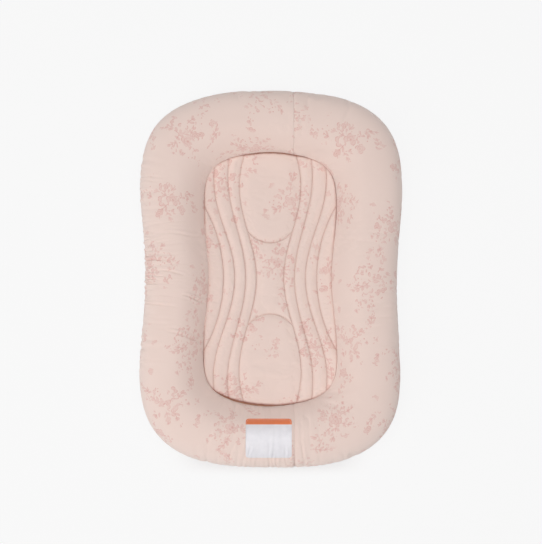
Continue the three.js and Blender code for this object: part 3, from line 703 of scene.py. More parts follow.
def gridFaces(rows, columns, wrapRows=False, wrapColumns=False, first=0):
    i, j = np.meshgrid(np.arange(rows if wrapRows else rows - 1),
                       np.arange(columns if wrapColumns else columns - 1), indexing="ij")
    i, j = i.ravel(), j.ravel()
    ni, nj = (i + 1) % rows, (j + 1) % columns
    return first + np.stack([i * columns + j, i * columns + nj, ni * columns + nj, ni * columns + j], 1)


def gridBorder(rows, columns):  # the points round the edge of a grid
    last = (rows - 1) * columns
    forth = [*range(columns), *[i * columns + columns - 1 for i in range(1, rows)]]
    back = [*range(last + columns - 2, last - 1, -1), *[i * columns for i in range(rows - 2, 0, -1)]]
    return forth + back


def slabFaces(rows, columns, turned):  # two equal grids, one over the other, and the rim between them
    count, border = rows * columns, gridBorder(rows, columns)
    faces = gridFaces(rows, columns).tolist() + gridFaces(rows, columns, first=count)[:, ::-1].tolist()
    faces += [[a, b, count + b, count + a] for a, b in zip(border, border[1:] + border[:1])]
    return [f[::-1] for f in faces] if turned else faces


def atHeight(plan, up):  # a grid in plan, with a height for its points
    return np.concatenate([plan, np.broadcast_to(up, plan.shape[:2])[..., None]], 2)


def gridNormals(points, wrapColumns=False):
    if wrapColumns:
        across = np.roll(points, -1, 1) - np.roll(points, 1, 1)
    else:
        across = np.gradient(points, axis=1)
    n = np.cross(across, np.gradient(points, axis=0))
    return n / np.maximum(np.linalg.norm(n, axis=2, keepdims=True), 1e-9)


def makePiece(name, points, faces, material, maps=None, depth=None):
    mesh = bpy.data.meshes.new(name)
    mesh.from_pydata(points.tolist(), [], [list(map(int, f)) for f in faces])
    corner = np.zeros(len(mesh.loops), np.int32)
    mesh.loops.foreach_get("vertex_index", corner)
    for mapName, values in (maps or {}).items():
        layer = mesh.uv_layers.new(name=mapName)
        layer.data.foreach_set("uv", values[corner].astype(np.float32).ravel())
    # depth is painted shade: how far the cloth's colour is darkened beside creases and stitch grooves, kept
    # as a mesh attribute
    if depth is not None:
        layer = mesh.attributes.new("paintedShade", "FLOAT", "POINT")
        layer.data.foreach_set("value", depth.astype(np.float32))
    mesh.shade_smooth()
    mesh.materials.append(material)
    piece = bpy.data.objects.new(name, mesh)
    scene.collection.objects.link(piece)
    return piece


def settle(piece, body, slot, *nodes):  # what each finished piece is told
    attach(piece, body)
    if nodes:
        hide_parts(*nodes)
    return piece


# cloth simulation

clothMake = {"frames": 7, "quality": 4, "mass": 0.15, "pressure": 4.0, "farthest": 0.0013}


def inflate(piece, held, growth):
    # lets the cloth swell between the points that its seams hold; gives the way of each point in metres
    mesh, c = piece.data, clothMake
    start = np.empty(len(mesh.vertices) * 3)
    mesh.vertices.foreach_get("co", start)
    piece.vertex_groups.new(name="sewn").add(np.flatnonzero(held).tolist(), 1.0, "REPLACE")
    modifier = piece.modifiers.new("inflate", "CLOTH")
    cloth = modifier.settings
    cloth.quality, cloth.mass, cloth.vertex_group_mass = c["quality"], c["mass"], "sewn"
    cloth.use_pressure, cloth.uniform_pressure_force = True, c["pressure"]
    cloth.shrink_min = -growth
    cloth.effector_weights.gravity = 0
    modifier.collision_settings.use_collision = False
    for number in range(1, c["frames"] + 1):
        scene.frame_set(number)
    after = np.empty_like(start)
    piece.evaluated_get(bpy.context.evaluated_depsgraph_get()).data.vertices.foreach_get("co", after)
    piece.modifiers.remove(modifier)
    piece.vertex_groups.clear()
    scene.frame_set(1)
    way = (after - start).reshape(-1, 3)
    length = np.maximum(np.linalg.norm(way, axis=1, keepdims=True), 1e-9)
    farthest = round(float(length.max()), 4)
    print("simulated", piece.name, "with", len(way), "points, moved at most", farthest, "m")
    return way / length * c["farthest"] * np.tanh(length / c["farthest"])


# how far the crease round the pad stands open, by direction from the pad's middle in degrees; the same share
# sets how much painted shade darkens the crease and how thick the brown cord laid in it is
creaseOpen = [
    (0, 0.07), (20, 0.08), (30, 0.16), (38, 0.20), (46, 0.36), (56, 0.36), (64, 0.18), (71, 0.34),
    (78, 0.80), (90, 0.76), (99, 0.72), (104, 0.32), (113, 0.24), (118, 0.04), (124, 0.18), (129, 0.52),
    (135, 0.38), (141, 0.08), (150, 0.0), (216, 0.02), (222, 0.22), (228, 0.45), (236, 0.28), (243, 0.34),
    (248, 0.95), (266, 1.0), (273, 0.72), (286, 0.5), (294, 0.26), (300, 0.05), (306, 0.12), (312, 0.34),
    (318, 0.18), (330, 0.06),
]
# painted shade beside the crease round the pad: how far it reaches, and how strong it is where the crease is
# shut and where it is open
creaseShadePaint = {"reach": 0.0027, "shut": 0.04, "open": 0.90, "fillOut": 0.55}


def openAt(points):
    return np.interp(directionOf(points), *zip(*creaseOpen), period=360)


def paintedCreaseShade(distance, points):  # how much painted shade darkens the cloth beside the crease round the pad
    c = creaseShadePaint
    return np.exp(-(distance / c["reach"]) ** 2) * (c["shut"] + c["open"] * openAt(points) ** c["fillOut"])


# printed cover of the bolster

coverMake = {
    "stationSpacing": 0.0023, "wrinkleSpacing": 0.00125,
    "acrossSpacing": 0.0024, "underSpacing": 0.008, "underInset": 0.0018,
    "paintedShade": 0.0005, "seamWidth": 0.0017, "seamGap": 0.00002, "headSeamShare": 0.4,
    "seamRidge": 0.0002, "seamRidgeAt": 0.006, "seamRidgeWidth": 0.003,
    "baseSeamDepth": 0.0018, "baseSeamWidth": 0.0030,
    "lump": 0.0011, "smallLump": 0.4, "wideStreak": 0.7,
    "streakTop": (0.002, 0.02), "streakBottom": (0.0, 0.02),
    "puckerDepth": 0.0006, "puckerFrom": (-0.001, 0.006), "puckerEnds": (0.004, 0.034),
    "baseRipple": 0.0005, "baseRippleEnds": (0.002, 0.026),
    "gatherRidge": 0.42, "gatherRidgeAt": 2.1, "gatherStart": (-0.02, 0.035), "gatherEnds": (-0.01, 0.02),
    "slantFrom": 0.08,  # gathers slant about this distance from the crest
    "creaseGain": 1.2, "creaseRidge": 0.85, "creaseRidgeAt": 2, "creasesAbove": 0.03,
    "creaseWander": 0.0012, "creaseWaves": 5.0, "creaseStart": (-0.18, 0.2), "creaseEnd": (0.75, 1.2),
    "sideCalm": 0.72, "sideWidth": 0.016,
    "floorGap": 0.0016, "shadeReach": 0.02,
    "printAt": {"Right": (0.013, 0.021), "Left": (0.371, 0.144)},
    "seed": 41,
}

# ripples of the cover: pitch along and across, shift of the pattern along and across, number of the pattern
coverRipples = {
    "lump": (0.085, 0.07, 3, 9, 0), "smallLump": (0.034, 0.03, 1, 5, 1),
    "streak": (0.0034, 0.06, 0, 6, 7), "wideStreak": (0.0062, 0.11, 0, 1, 8),
    "pucker": (0.0068, 0.05, 0, 2, 5), "baseRipple": (0.0055, 0.04, 0, 4, 6),
}

# long creases seen on the cover: two ends in plan, depth and width
coverCreases = [
    (-0.2546, 0.0335, -0.2010, 0.0328, 0.0017, 0.0019),
    (-0.2546, 0.0405, -0.2260, 0.0398, 0.0010, 0.0016),
    (-0.2540, 0.0213, -0.2300, 0.0203, 0.0013, 0.0018),
    (-0.2200, 0.0126, -0.1760, 0.0050, 0.0012, 0.0020),
    (-0.2550, 0.0016, -0.2120, 0.0022, 0.0014, 0.0018),
    (-0.2550, -0.0062, -0.2180, -0.0050, 0.0013, 0.0018),
    (-0.2550, -0.0140, -0.2240, -0.0132, 0.0012, 0.0020),
    (-0.2560, -0.0260, -0.2320, -0.0250, 0.0008, 0.0018),
    (-0.2540, 0.0830, -0.2340, 0.0826, 0.0011, 0.0018),
    (-0.2550, 0.0900, -0.2380, 0.0890, 0.0008, 0.0017),
    (-0.1720, -0.0376, -0.1370, -0.0485, 0.0013, 0.0020),
    (-0.1998, -0.1106, -0.1429, -0.1269, 0.0015, 0.0022),
    (-0.2050, -0.1030, -0.1700, -0.1080, 0.0008, 0.0020),
    (-0.2600, 0.1960, -0.2270, 0.1910, 0.0010, 0.0022),
    (-0.2600, 0.1700, -0.2300, 0.1690, 0.0008, 0.0020),
    (-0.2100, 0.0860, -0.1500, 0.0830, 0.0007, 0.0024),
    (-0.0440, -0.3720, -0.0400, -0.3380, 0.0010, 0.0020),
    (0.0060, -0.3760, 0.0040, -0.3460, 0.0012, 0.0020),
    (0.0150, -0.3760, 0.0128, -0.3560, 0.0009, 0.0018),
    (0.0330, -0.3740, 0.0290, -0.3380, 0.0010, 0.0020),
    (0.0700, -0.3680, 0.0610, -0.3300, 0.0009, 0.0022),
    (-0.0800, -0.3660, -0.0720, -0.3320, 0.0007, 0.0022),
]

# where the cover is gathered: side, from and to along Y or X, gathers per metre, depth
gatherZones = [
    ("left", -0.18, 0.23, 190, 0.0012),
    ("left", -0.05, 0.09, 130, 0.0015),
    ("foot", -0.14, 0.15, 170, 0.0009),
    ("right", -0.16, 0.16, 90, 0.0004),
    ("head", -0.15, 0.15, 60, 0.0002),
    ("corners", 0.0, 1.0, 40, 0.0004),
]

# limits between which a gather's upper end, strength, width and slant are drawn
gatherSpread = {
    "sides": ((0.0, 0.075), (0.35, 1.15), (0.0018, 0.0036), (-0.10, 0.10)),
    "corners": ((0.02, 0.07), (0.3, 1.0), (0.0022, 0.0045), (-0.12, 0.12)),
}

# the stretches of the ring that count as its long and short sides
sideReach = {"fromMiddle": 0.12, "long": 0.25, "short": 0.16}


def gatherPlaces(rng):
    # turns the zones into single gathers: place along the ring, how far up they run, depth, width and slant
    made = []

    def draw(at, depth, spread):
        up, strength, width, slant = [rng.uniform(*limits) for limits in gatherSpread[spread]]
        made.append((at, up, depth * strength, width, slant))

    for side, low, high, density, depth in gatherZones:
        if side == "corners":
            for _ in range(int(density * ringLength)):
                draw(rng.uniform(0, ringLength), depth, "corners")
            continue
        axis = 1 if side in ("left", "right") else 0
        sign = 1 if side in ("right", "head") else -1
        sideways, run = spinePoints[:, 1 - axis], spinePoints[:, axis]
        longest = sideReach["long" if axis else "short"]
        onSide = (sideways * sign > sideReach["fromMiddle"]) & (np.abs(run) < longest)
        places, values = spineAlong[onSide], run[onSide]
        order = np.argsort(values)
        for _ in range(int(density * (high - low))):
            draw(np.interp(rng.uniform(low, high), values[order], places[order]), depth, "sides")
    return made


swellMake = {"rows": 400, "spacing": 0.0055, "growth": 0.03, "seamReach": 0.004, "share": 0.9}


def coverSwell(gathers):
    # simulates the whole stuffed cover coarsely: how far its cloth swells or sinks, in rows along the ring
    s = swellMake
    st = stations(np.linspace(0, ringLength, s["rows"], endpoint=False))
    angles = evenAngles(creaseAngle, baseAngle, s["spacing"])
    points = ringGrid(st, angles, np.zeros(len(angles)))
    normals = gridNormals(points)
    points += normals * coverRelief(st, angles, points, gathers, None)[..., None]
    form = makePiece("coverForm", points.reshape(-1, 3), gridFaces(s["rows"], len(angles), wrapRows=True),
                     bpy.data.materials.new("coverForm"))
    along = np.broadcast_to(st["along"][:, None], points.shape[:2])
    toSeam = np.minimum(np.abs(along - headSeam), np.abs(along - footSeam))
    held = toSeam < s["seamReach"]
    held[:, [0, 1, -2, -1]] = True
    way = inflate(form, held.ravel(), s["growth"]).reshape(points.shape)
    bpy.data.objects.remove(form)
    across = acrossCloth(angles)
    return {"field": s["share"] * (way * normals).sum(2), "from": across[0], "to": across[-1]}


def swellAt(swell, along, across):  # between the simulated points
    field = swell["field"]
    rows, columns = field.shape
    u = along / ringLength * rows
    v = np.clip((across - swell["from"]) / (swell["to"] - swell["from"]), 0, 1) * (columns - 1)
    i, j = np.floor(u).astype(int), np.minimum(np.floor(v).astype(int), columns - 2)
    fu, fv = u - i, v - j
    low = field[i % rows, j] * (1 - fu) + field[(i + 1) % rows, j] * fu
    high = field[i % rows, j + 1] * (1 - fu) + field[(i + 1) % rows, j + 1] * fu
    return low * (1 - fv) + high * fv


# fine streaks across the cover, by side: middle in X and Y, half size in X and Y, and their height
streaks = {
    "left": (-0.255, 0.075, 0.10, 0.15, 0.00040),
    "foot": (0.0, -0.35, 0.16, 0.10, 0.00044),
    "right": (0.255, 0.0, 0.10, 0.16, 0.00012),
}
streakFade = (0.6, 1.1)  # shares of the half size between which streaks fade out
streakedFrom = 0.00008  # where streaks are higher than this, the stations lie closer together


def streakHeight(x, y):
    height = 0
    for middleX, middleY, halfX, halfY, high in streaks.values():
        far = np.maximum(np.abs(x - middleX) / halfX, np.abs(y - middleY) / halfY)
        height = np.maximum(height, high * (1 - smoothRise(far, *streakFade)))
    return height


def coverRipple(name, along, across):
    pitchAlong, pitchAcross, shiftAlong, shiftAcross, number = coverRipples[name]
    seed = coverMake["seed"] + number
    return latticeNoise(along / pitchAlong + shiftAlong, across / pitchAcross + shiftAcross, seed)


def foldShape(off, width, ridge, ridgeAt):  # a groove with a low ridge on either side
    return ridge * np.exp(-((np.abs(off) - ridgeAt * width) / width) ** 2) - np.exp(-(off / width) ** 2)


def addGathers(relief, along, across, bottom, gathers):
    c = coverMake
    start, whole = c["gatherStart"]
    for at, up, depth, width, slant in gathers:
        gap = ringGap(along[:, 0], at)
        rows = np.abs(gap) < width * 4 + 0.02
        if not rows.any():
            continue
        off = gap[rows][:, None] - slant * (across[rows] - c["slantFrom"])
        reach = smoothRise(across[rows], up + start, up + whole)
        reach *= smoothRise(bottom - across[rows], *c["gatherEnds"])
        relief[rows] += depth * reach * foldShape(off, width, c["gatherRidge"], c["gatherRidgeAt"])


def addCreases(relief, points):
    c = coverMake
    x, y = points[..., 0], points[..., 1]
    for x0, y0, x1, y1, depth, width in coverCreases:
        dx, dy = x1 - x0, y1 - y0
        length = math.hypot(dx, dy)
        t = ((x - x0) * dx + (y - y0) * dy) / length ** 2
        off = ((x - x0) * dy - (y - y0) * dx) / length + c["creaseWander"] * np.sin(t * c["creaseWaves"])
        fadeEnds = smoothRise(t, *c["creaseStart"]) * (1 - smoothRise(t, *c["creaseEnd"]))
        fadeEnds *= points[..., 2] > c["creasesAbove"]
        shape = foldShape(off, width, c["creaseRidge"], c["creaseRidgeAt"])
        relief += c["creaseGain"] * depth * fadeEnds * shape


def coverRelief(st, angles, points, gathers, swell):
    # how far the cloth stands out from the smooth bolster, in metres
    c = coverMake
    along = np.broadcast_to(st["along"][:, None], points.shape[:2])
    across = np.broadcast_to(acrossCloth(angles)[None, :], points.shape[:2])
    bottom, side, top = acrossCloth(np.array([baseAngle, math.pi, creaseAngle]))
    relief = c["lump"] * coverRipple("lump", along, across)
    relief += c["lump"] * c["smallLump"] * coverRipple("smallLump", along, across)
    if swell:
        relief += swellAt(swell, along, across)
    addGathers(relief, along, across, bottom, gathers)
    fine = coverRipple("streak", along, across)
    fine += c["wideStreak"] * coverRipple("wideStreak", along, across)
    height = streakHeight(points[..., 0], points[..., 1])
    fromBottom = smoothRise(bottom - across, *c["streakBottom"])
    relief += height * fine * fromBottom * smoothRise(across - top, *c["streakTop"])
    # short puckers where the cover is sewn to the pad, and a ripple along the base seam
    pucker = np.maximum(0, coverRipple("pucker", along, across))
    near = 1 - smoothRise(across - top, *c["puckerEnds"])
    relief -= c["puckerDepth"] * openAt(points) * pucker * near * smoothRise(across - top, *c["puckerFrom"])
    ripple = coverRipple("baseRipple", along, across)
    relief += c["baseRipple"] * ripple * (1 - smoothRise(np.abs(bottom - across), *c["baseRippleEnds"]))
    addCreases(relief, points)
    # the widest line stays smooth, as a tight cover does there
    relief *= 1 - c["sideCalm"] * np.exp(-((across - side) / c["sideWidth"]) ** 2)
    # the join seams draw the cloth in, and so does the base seam
    for turns in (0, ringLength):
        for seam, deep in ((headSeam - turns, c["headSeamShare"]), (footSeam - turns, 1)):
            gap = np.abs(along - seam)
            relief -= deep * c["paintedShade"] * np.exp(-(gap / c["seamWidth"]) ** 2)
            relief += c["seamRidge"] * np.exp(-((gap - c["seamRidgeAt"]) / c["seamRidgeWidth"]) ** 2)
    relief -= c["baseSeamDepth"] * np.exp(-((bottom - across) / c["baseSeamWidth"]) ** 2)
    return relief


def coverPlaces(start, end):  # stations along a cover half, closer together where it wrinkles
    fine = np.linspace(start, end, 4001)
    at = stations(fine)["at"]
    wrinkled = streakHeight(at[:, 0], at[:, 1]) > streakedFrom
    step = np.where(wrinkled, coverMake["wrinkleSpacing"], coverMake["stationSpacing"])
    count = np.concatenate([[0], np.cumsum(np.diff(fine) / step[1:])])
    return np.interp(np.linspace(0, count[-1], round(count[-1]) + 1), count, fine)


def coverHalf(word, start, end, gathers, swell, material):
    c = coverMake
    st = stations(coverPlaces(start, end))
    shown = evenAngles(creaseAngle, baseAngle, c["acrossSpacing"])
    under = evenAngles(baseAngle, 2 * math.pi + creaseAngle, c["underSpacing"])[1:-1]
    angles = np.concatenate([shown, under])
    insets = np.concatenate([np.zeros(len(shown)), np.full(len(under), c["underInset"])])
    points = ringGrid(st, angles, insets)
    relief = coverRelief(st, angles, points, gathers, swell)
    relief[:, len(shown):] = 0
    points = points + gridNormals(points, wrapColumns=True) * relief[..., None]
    points[..., 2] = np.maximum(points[..., 2], c["floorGap"])
    rows, columns = points.shape[:2]
    flat = points.reshape(-1, 3)
    faces = gridFaces(rows, columns, wrapColumns=True).tolist()
    for row, middle in ((0, len(flat)), (rows - 1, len(flat) + 1)):  # the ends, closed inside the join seams
        for j in range(columns):
            a, b = row * columns + j, row * columns + (j + 1) % columns
            faces.append([middle, a, b] if row else [middle, b, a])
    flatCloth = sheetPlan(st, angles).reshape(-1, 2) + c["printAt"][word]
    across = acrossCloth(angles)
    # painted shade on the cover, within a short reach of the crease round the pad
    fromCrease = np.broadcast_to(across - across[0], points.shape[:2]).ravel()
    deep = np.where(fromCrease < c["shadeReach"], paintedCreaseShade(np.abs(fromCrease), flat), 0)
    closed = np.vstack([flat, points[0].mean(0), points[-1].mean(0)])
    piece = makePiece("cover" + word, closed, faces, material,
                      {"cloth": np.vstack([flatCloth, flatCloth[:2]])}, np.concatenate([deep, [0, 0]]))
    settle(piece, "lounger", "printed_cotton", "ring_cover_" + word.lower())
    return piece


def makeCovers(material):
    gathers = gatherPlaces(np.random.default_rng(coverMake["seed"] + 2))
    swell = coverSwell(gathers)
    gap = coverMake["seamGap"]
    right = coverHalf("Right", footSeam - ringLength + gap, headSeam - gap, gathers, swell, material)
    left = coverHalf("Left", headSeam + gap, footSeam - gap, gathers, swell, material)
    print("cover halves:", len(right.data.polygons) + len(left.data.polygons), "faces")
    return left


# the insert inside the cover

insertMake = {"linerInset": 0.0047, "fillInset": 0.0064, "rows": 260, "spacing": 0.008,
              "lump": 0.0006, "lumpPitch": (0.05, 0.02), "seed": 77}


def insertTube(name, inset, material, slot, node):
    m = insertMake
    st = stations(np.linspace(0, ringLength, m["rows"], endpoint=False))
    angles = evenAngles(creaseAngle, 2 * math.pi + creaseAngle, m["spacing"])[:-1]
    points = ringGrid(st, angles, np.full(len(angles), inset))
    pitchAlong, pitchUp = m["lumpPitch"]
    along = np.broadcast_to(st["along"][:, None] / pitchAlong, points.shape[:2])
    points[..., 2] += m["lump"] * latticeNoise(along, points[..., 2] / pitchUp, m["seed"])
    piece = makePiece(name, points.reshape(-1, 3), gridFaces(m["rows"], len(angles), True, True),
                      material, {"cloth": sheetPlan(st, angles).reshape(-1, 2)})
    settle(piece, "lounger", slot, node)


# quilted centre pad

quilt = {
    "openGap": 0.0020, "shutGap": -0.0017,  # from the pad's outline, where the crease is open and shut
    "gapReach": 0.008,
    "openRim": 0.0318, "shutRim": 0.0378, "shutRoll": 0.8, "rollLoss": 0.3,
    # painted shade on the pad's side wall, down in the crease
    "wallLean": 0.0008, "wallShade": 0.6,
    "stitchHeight": 0.0352,
    "puff": 0.0050, "puffReach": 0.0058,
    "notch": 0.0013, "notchReach": 0.0011, "arcNotch": 2.0,
    # painted shade along the stitch grooves, and how far it reaches
    "lineShade": 0.20, "lineReach": 0.0018,
    "crown": 0.0014, "crownReach": 0.024,
    "edgeRoll": 0.0080,
    "underside": 0.0296,
    "pucker": 0.00035, "puckerPitch": (0.0055, 0.02), "puckerReach": 0.0045, "puckerFrom": (0, 0.0012),
    "lineShift": 3.1,  # keeps the puckers of one stitch line unlike those of the next
    "lump": 0.00025, "lumpPitch": (0.018, 0.020),
    "pinch": 0.0004, "pinches": 24, "pinchPitch": 0.03, "pinchEnds": (0.002, 0.012),
    "heldBeside": 0.0014, "growth": 0.02,  # for the simulation
    "printAt": (3.348, 2.935),
    "seed": 12,
}
quiltGrid = {
    # rows lie closer across the two oval stitch arcs and where the pad's end turns: from, to and spacing
    "rows": [(0, 0.0705, 0.0022), (0.0715, 0.0965, 0.0008), (0.0980, 0.2240, 0.0022)],
    "endFrom": 0.2255, "endSteps": 190, "lastStep": 0.00002, "endHalf": 0.0012,
    # columns between the middle, each stitch line and the edge, and how near the edge each line may come
    "columns": (26, 16, 16, 16, 18), "limits": (0.93, 0.95, 0.968, 0.985), "bunching": 0.75,
}
stitchMake = {
    "waves": [(0.0454, 0.01756, 0.1888), (0.0683, 0.01857, 0.2091), (0.0939, 0.02182, 0.2030)],
    "outer": (0.0954, 0.03654, 0.1421, 2.1),
    "arc": (0.0731, 0.0193, 0.0426, 2.2), "arcHalf": 0.046,
    "half": 0.2585, "edgeGap": 0.0015, "shortest": 20,
    "spacing": 0.0005, "threadHalf": 0.0002,
}


def waveAt(k, y):  # x of stitch line k on the pad's right half, counted from its middle
    if k < len(stitchMake["waves"]):
        middle, swing, reach = stitchMake["waves"][k]
        return middle - swing * np.cos(math.pi * y / reach)
    middle, rise, reach, power = stitchMake["outer"]
    return middle + rise * (np.abs(y) / reach) ** power


def resample(line, spacing):
    along = runAlong(line)
    places = np.arange(spacing / 2, along[-1], spacing)
    return np.stack([np.interp(places, along, line[:, k]) for k in (0, 1)], 1)


def stitchLines():
    s = stitchMake
    y = np.linspace(-s["half"], s["half"], 2600)
    lines = []
    for k in range(4):
        x = waveAt(k, y)
        inside = x < halfWidthAt(y, pad) - s["edgeGap"]
        runs = np.flatnonzero(np.diff(np.concatenate([[0], inside.astype(int), [0]])))
        for a, b in zip(runs[::2], runs[1::2]):
            if b - a > s["shortest"]:
                lines.append(np.stack([x[a:b], y[a:b]], 1))
                lines.append(lines[-1] * (-1, 1))
    middle, rise, reach, power = s["arc"]
    x = np.linspace(-s["arcHalf"], s["arcHalf"], 400)
    arc = np.stack([x, middle + rise * (np.abs(x) / reach) ** power], 1)
    arc = arc[np.abs(arc[:, 0]) <= waveAt(0, arc[:, 1])]
    return lines + [arc, arc * (1, -1)]


def nearestTo(points, targets):  # distance to, and index of, the nearest target
    tree = kdtree.KDTree(len(targets))
    for k, (x, y) in enumerate(targets):
        tree.insert((x, y, 0), k)
    tree.balance()
    found = [tree.find((x, y, 0)) for x, y in points]
    return np.array([f[2] for f in found]), np.array([f[1] for f in found])


padRim = traceLoop(pad, 1500)


def localGap(points):
    return quilt["shutGap"] + (quilt["openGap"] - quilt["shutGap"]) * openAt(points)


def padEdge(points):  # distance inwards from the quilted face's own edge
    edge, _ = nearestTo(points, padRim)
    x, y = np.abs(points).T
    beyond = (y > pad["halfLength"]) | (x > halfWidthAt(y, pad))
    return np.maximum(0, np.where(beyond, -edge, edge) - localGap(points))


def outwards(points):  # the way square to the pad's outline
    _, nearest = nearestTo(points, padRim)
    ahead = np.roll(padRim, -1, 0) - np.roll(padRim, 1, 0)
    way = np.stack([ahead[:, 1], -ahead[:, 0]], 1)[nearest]
    return way / np.linalg.norm(way, axis=1, keepdims=True)


def padTop(points, lines):
    # height of the quilted face over each point in plan
    q, spacing = quilt, stitchMake["spacing"]
    dense = [resample(line, spacing) for line in lines]
    run = np.concatenate([np.arange(len(d)) * spacing + q["lineShift"] * k for k, d in enumerate(dense)])
    onArc = np.concatenate([np.full(len(d), k >= len(dense) - 2) for k, d in enumerate(dense)])
    gap, nearest = nearestTo(points, np.concatenate(dense))
    gap = np.maximum(0, gap - stitchMake["threadHalf"])
    edge = padEdge(points)
    notch = q["notch"] * np.where(onArc[nearest], q["arcNotch"], 1.0)
    puff = q["puff"] * (1 - np.exp(-gap / q["puffReach"])) - notch * np.exp(-gap / q["notchReach"])
    puff += q["notch"]
    puff += q["crown"] * (1 - np.exp(-gap / q["crownReach"]))
    pitchAlong, pitchAway = q["puckerPitch"]
    gathers = latticeNoise(run[nearest] / pitchAlong, gap / pitchAway, q["seed"])
    puff += q["pucker"] * np.exp(-gap / q["puckerReach"]) * gathers * smoothRise(gap, *q["puckerFrom"])
    lumps = points / q["lumpPitch"] + 5
    puff += q["lump"] * latticeNoise(lumps[:, 0], lumps[:, 1], q["seed"] + 1)
    opened = openAt(points)
    rim = q["shutRim"] + (q["openRim"] - q["shutRim"]) * opened
    t = np.minimum(1, edge / q["edgeRoll"])
    roll = np.maximum(0, t * (2 - t)) ** (q["shutRoll"] - q["rollLoss"] * opened)
    around = np.arctan2(points[:, 1], points[:, 0]) * q["pinches"]
    pinch = latticeNoise(around, edge / q["pinchPitch"], q["seed"] + 2)
    top = q["stitchHeight"] + puff + q["pinch"] * pinch * (1 - smoothRise(edge, *q["pinchEnds"]))
    return rim + (top - rim) * roll


def padRows(end):
    turn = traceQuarter(pad, quiltGrid["endSteps"])[:, 1]
    turn = turn[(turn > quiltGrid["endFrom"]) & (turn < end - quiltGrid["lastStep"])]
    half = np.concatenate([np.arange(*run) for run in quiltGrid["rows"]] + [turn, [end]])
    return np.concatenate([-half[:0:-1], half])


def padColumns(y, edge):
    # columns bunch at each stitch line, which they follow from end to end
    bunching = quiltGrid["bunching"]
    stops = [np.minimum(waveAt(k, y), edge * limit) for k, limit in enumerate(quiltGrid["limits"])]
    stops = [np.zeros(len(y)), *stops, edge]
    half = [stops[0][:, None]]
    for k, count in enumerate(quiltGrid["columns"]):
        share = np.arange(1, count + 1) / count
        bunched = (1 - np.cos(share * math.pi)) / 2 if k else np.sin(share * math.pi / 2)
        share = (1 - bunching) * share + bunching * bunched
        half.append(stops[k][:, None] + (stops[k + 1] - stops[k])[:, None] * share[None, :])
    half = np.concatenate(half, 1)
    return np.concatenate([-half[:, :0:-1], half], 1)


def quiltPlan():  # the quilted face's grid in plan, drawn in where the crease round it stands open
    y = padRows(pad["halfLength"])
    x = padColumns(y, np.maximum(quiltGrid["endHalf"], halfWidthAt(y, pad)))
    plan = np.stack([x, np.broadcast_to(y[:, None], x.shape)], 2).reshape(-1, 2)
    inside, _ = nearestTo(plan, padRim)
    near = np.flatnonzero(inside < quilt["gapReach"])
    share = 1 - smoothRise(inside[near], 0, quilt["gapReach"])
    plan[near] -= outwards(plan[near]) * (localGap(plan[near]) * share)[:, None]
    return plan, x.shape


def makeQuilt(material):
    q = quilt
    plan, (rows, columns) = quiltPlan()
    lines = stitchLines()
    top = np.column_stack([plan, padTop(plan, lines)])
    border = gridBorder(rows, columns)
    below = top[border].copy()
    below[:, :2] -= outwards(below[:, :2]) * (q["wallLean"] - localGap(below[:, :2]))[:, None]
    below[:, 2] = q["underside"]
    first, count = len(top), len(border)
    faces = gridFaces(rows, columns)[:, ::-1].tolist()
    for k in range(count):
        n = (k + 1) % count
        faces.append([border[k], first + k, first + n, border[n]])
        faces.append([first + count, first + n, first + k])
    points = np.vstack([top, below, [[0, 0, q["underside"]]]])
    fromLine, _ = nearestTo(plan, np.concatenate([resample(line, stitchMake["spacing"]) for line in lines]))
    edge = padEdge(plan)
    # painted shade: darker beside the crease, along the stitch grooves and on the side wall
    deep = paintedCreaseShade(edge, top) + q["lineShade"] * np.exp(-(fromLine / q["lineReach"]) ** 2)
    deep = np.minimum(np.concatenate([deep, np.full(count + 1, q["wallShade"])]), 1)
    piece = makePiece("quiltPad", points, faces, material, {"cloth": points[:, :2] + q["printAt"]}, deep)
    held = np.ones(len(points), bool)
    held[:first] = (fromLine < q["heldBeside"]) | (edge < q["heldBeside"])
    swollen = points + inflate(piece, held, q["growth"])
    piece.data.vertices.foreach_set("co", swollen.ravel())
    piece.data.update()
    settle(piece, "lounger", "printed_cotton", "quilt_face")
    print("quilted pad:", len(faces), "faces,", len(lines), "stitch lines")
    return lines


creaseShadeCordMake = {"stations": 900, "sides": 10, "openRadius": 0.0019, "shutRadius": 0.0004,
                    "openHeight": 0.0318, "shutHeight": 0.0328, "inwards": 0.0004, "fillOut": 0.45}


def creaseShadeCord(material):  # the seam that joins the pad to the bolster's cover, drawn as a brown cord that is thicker where the crease stands open: painted shade in the crease
    t = creaseShadeCordMake
    loop = resample(padRim, 0.001)
    loop = loop[np.linspace(0, len(loop) - 1, t["stations"]).round().astype(int)]
    away, opened = outwards(loop), openAt(loop)
    radius = t["shutRadius"] + (t["openRadius"] - t["shutRadius"]) * opened ** t["fillOut"]
    height = t["shutHeight"] + (t["openHeight"] - t["shutHeight"]) * opened
    turn = np.linspace(0, 2 * math.pi, t["sides"], endpoint=False)
    loop = loop - away * (t["inwards"] * opened)[:, None]
    plan = loop[:, None, :] + away[:, None, :] * (radius[:, None] * np.cos(turn))[..., None]
    up = height[:, None] + radius[:, None] * np.sin(turn)
    points = atHeight(plan, up).reshape(-1, 3)
    piece = makePiece("creaseShadeCord", points, gridFaces(t["stations"], t["sides"], True, True), material)
    settle(piece, "lounger", "printed_cotton")


# small repeated shapes

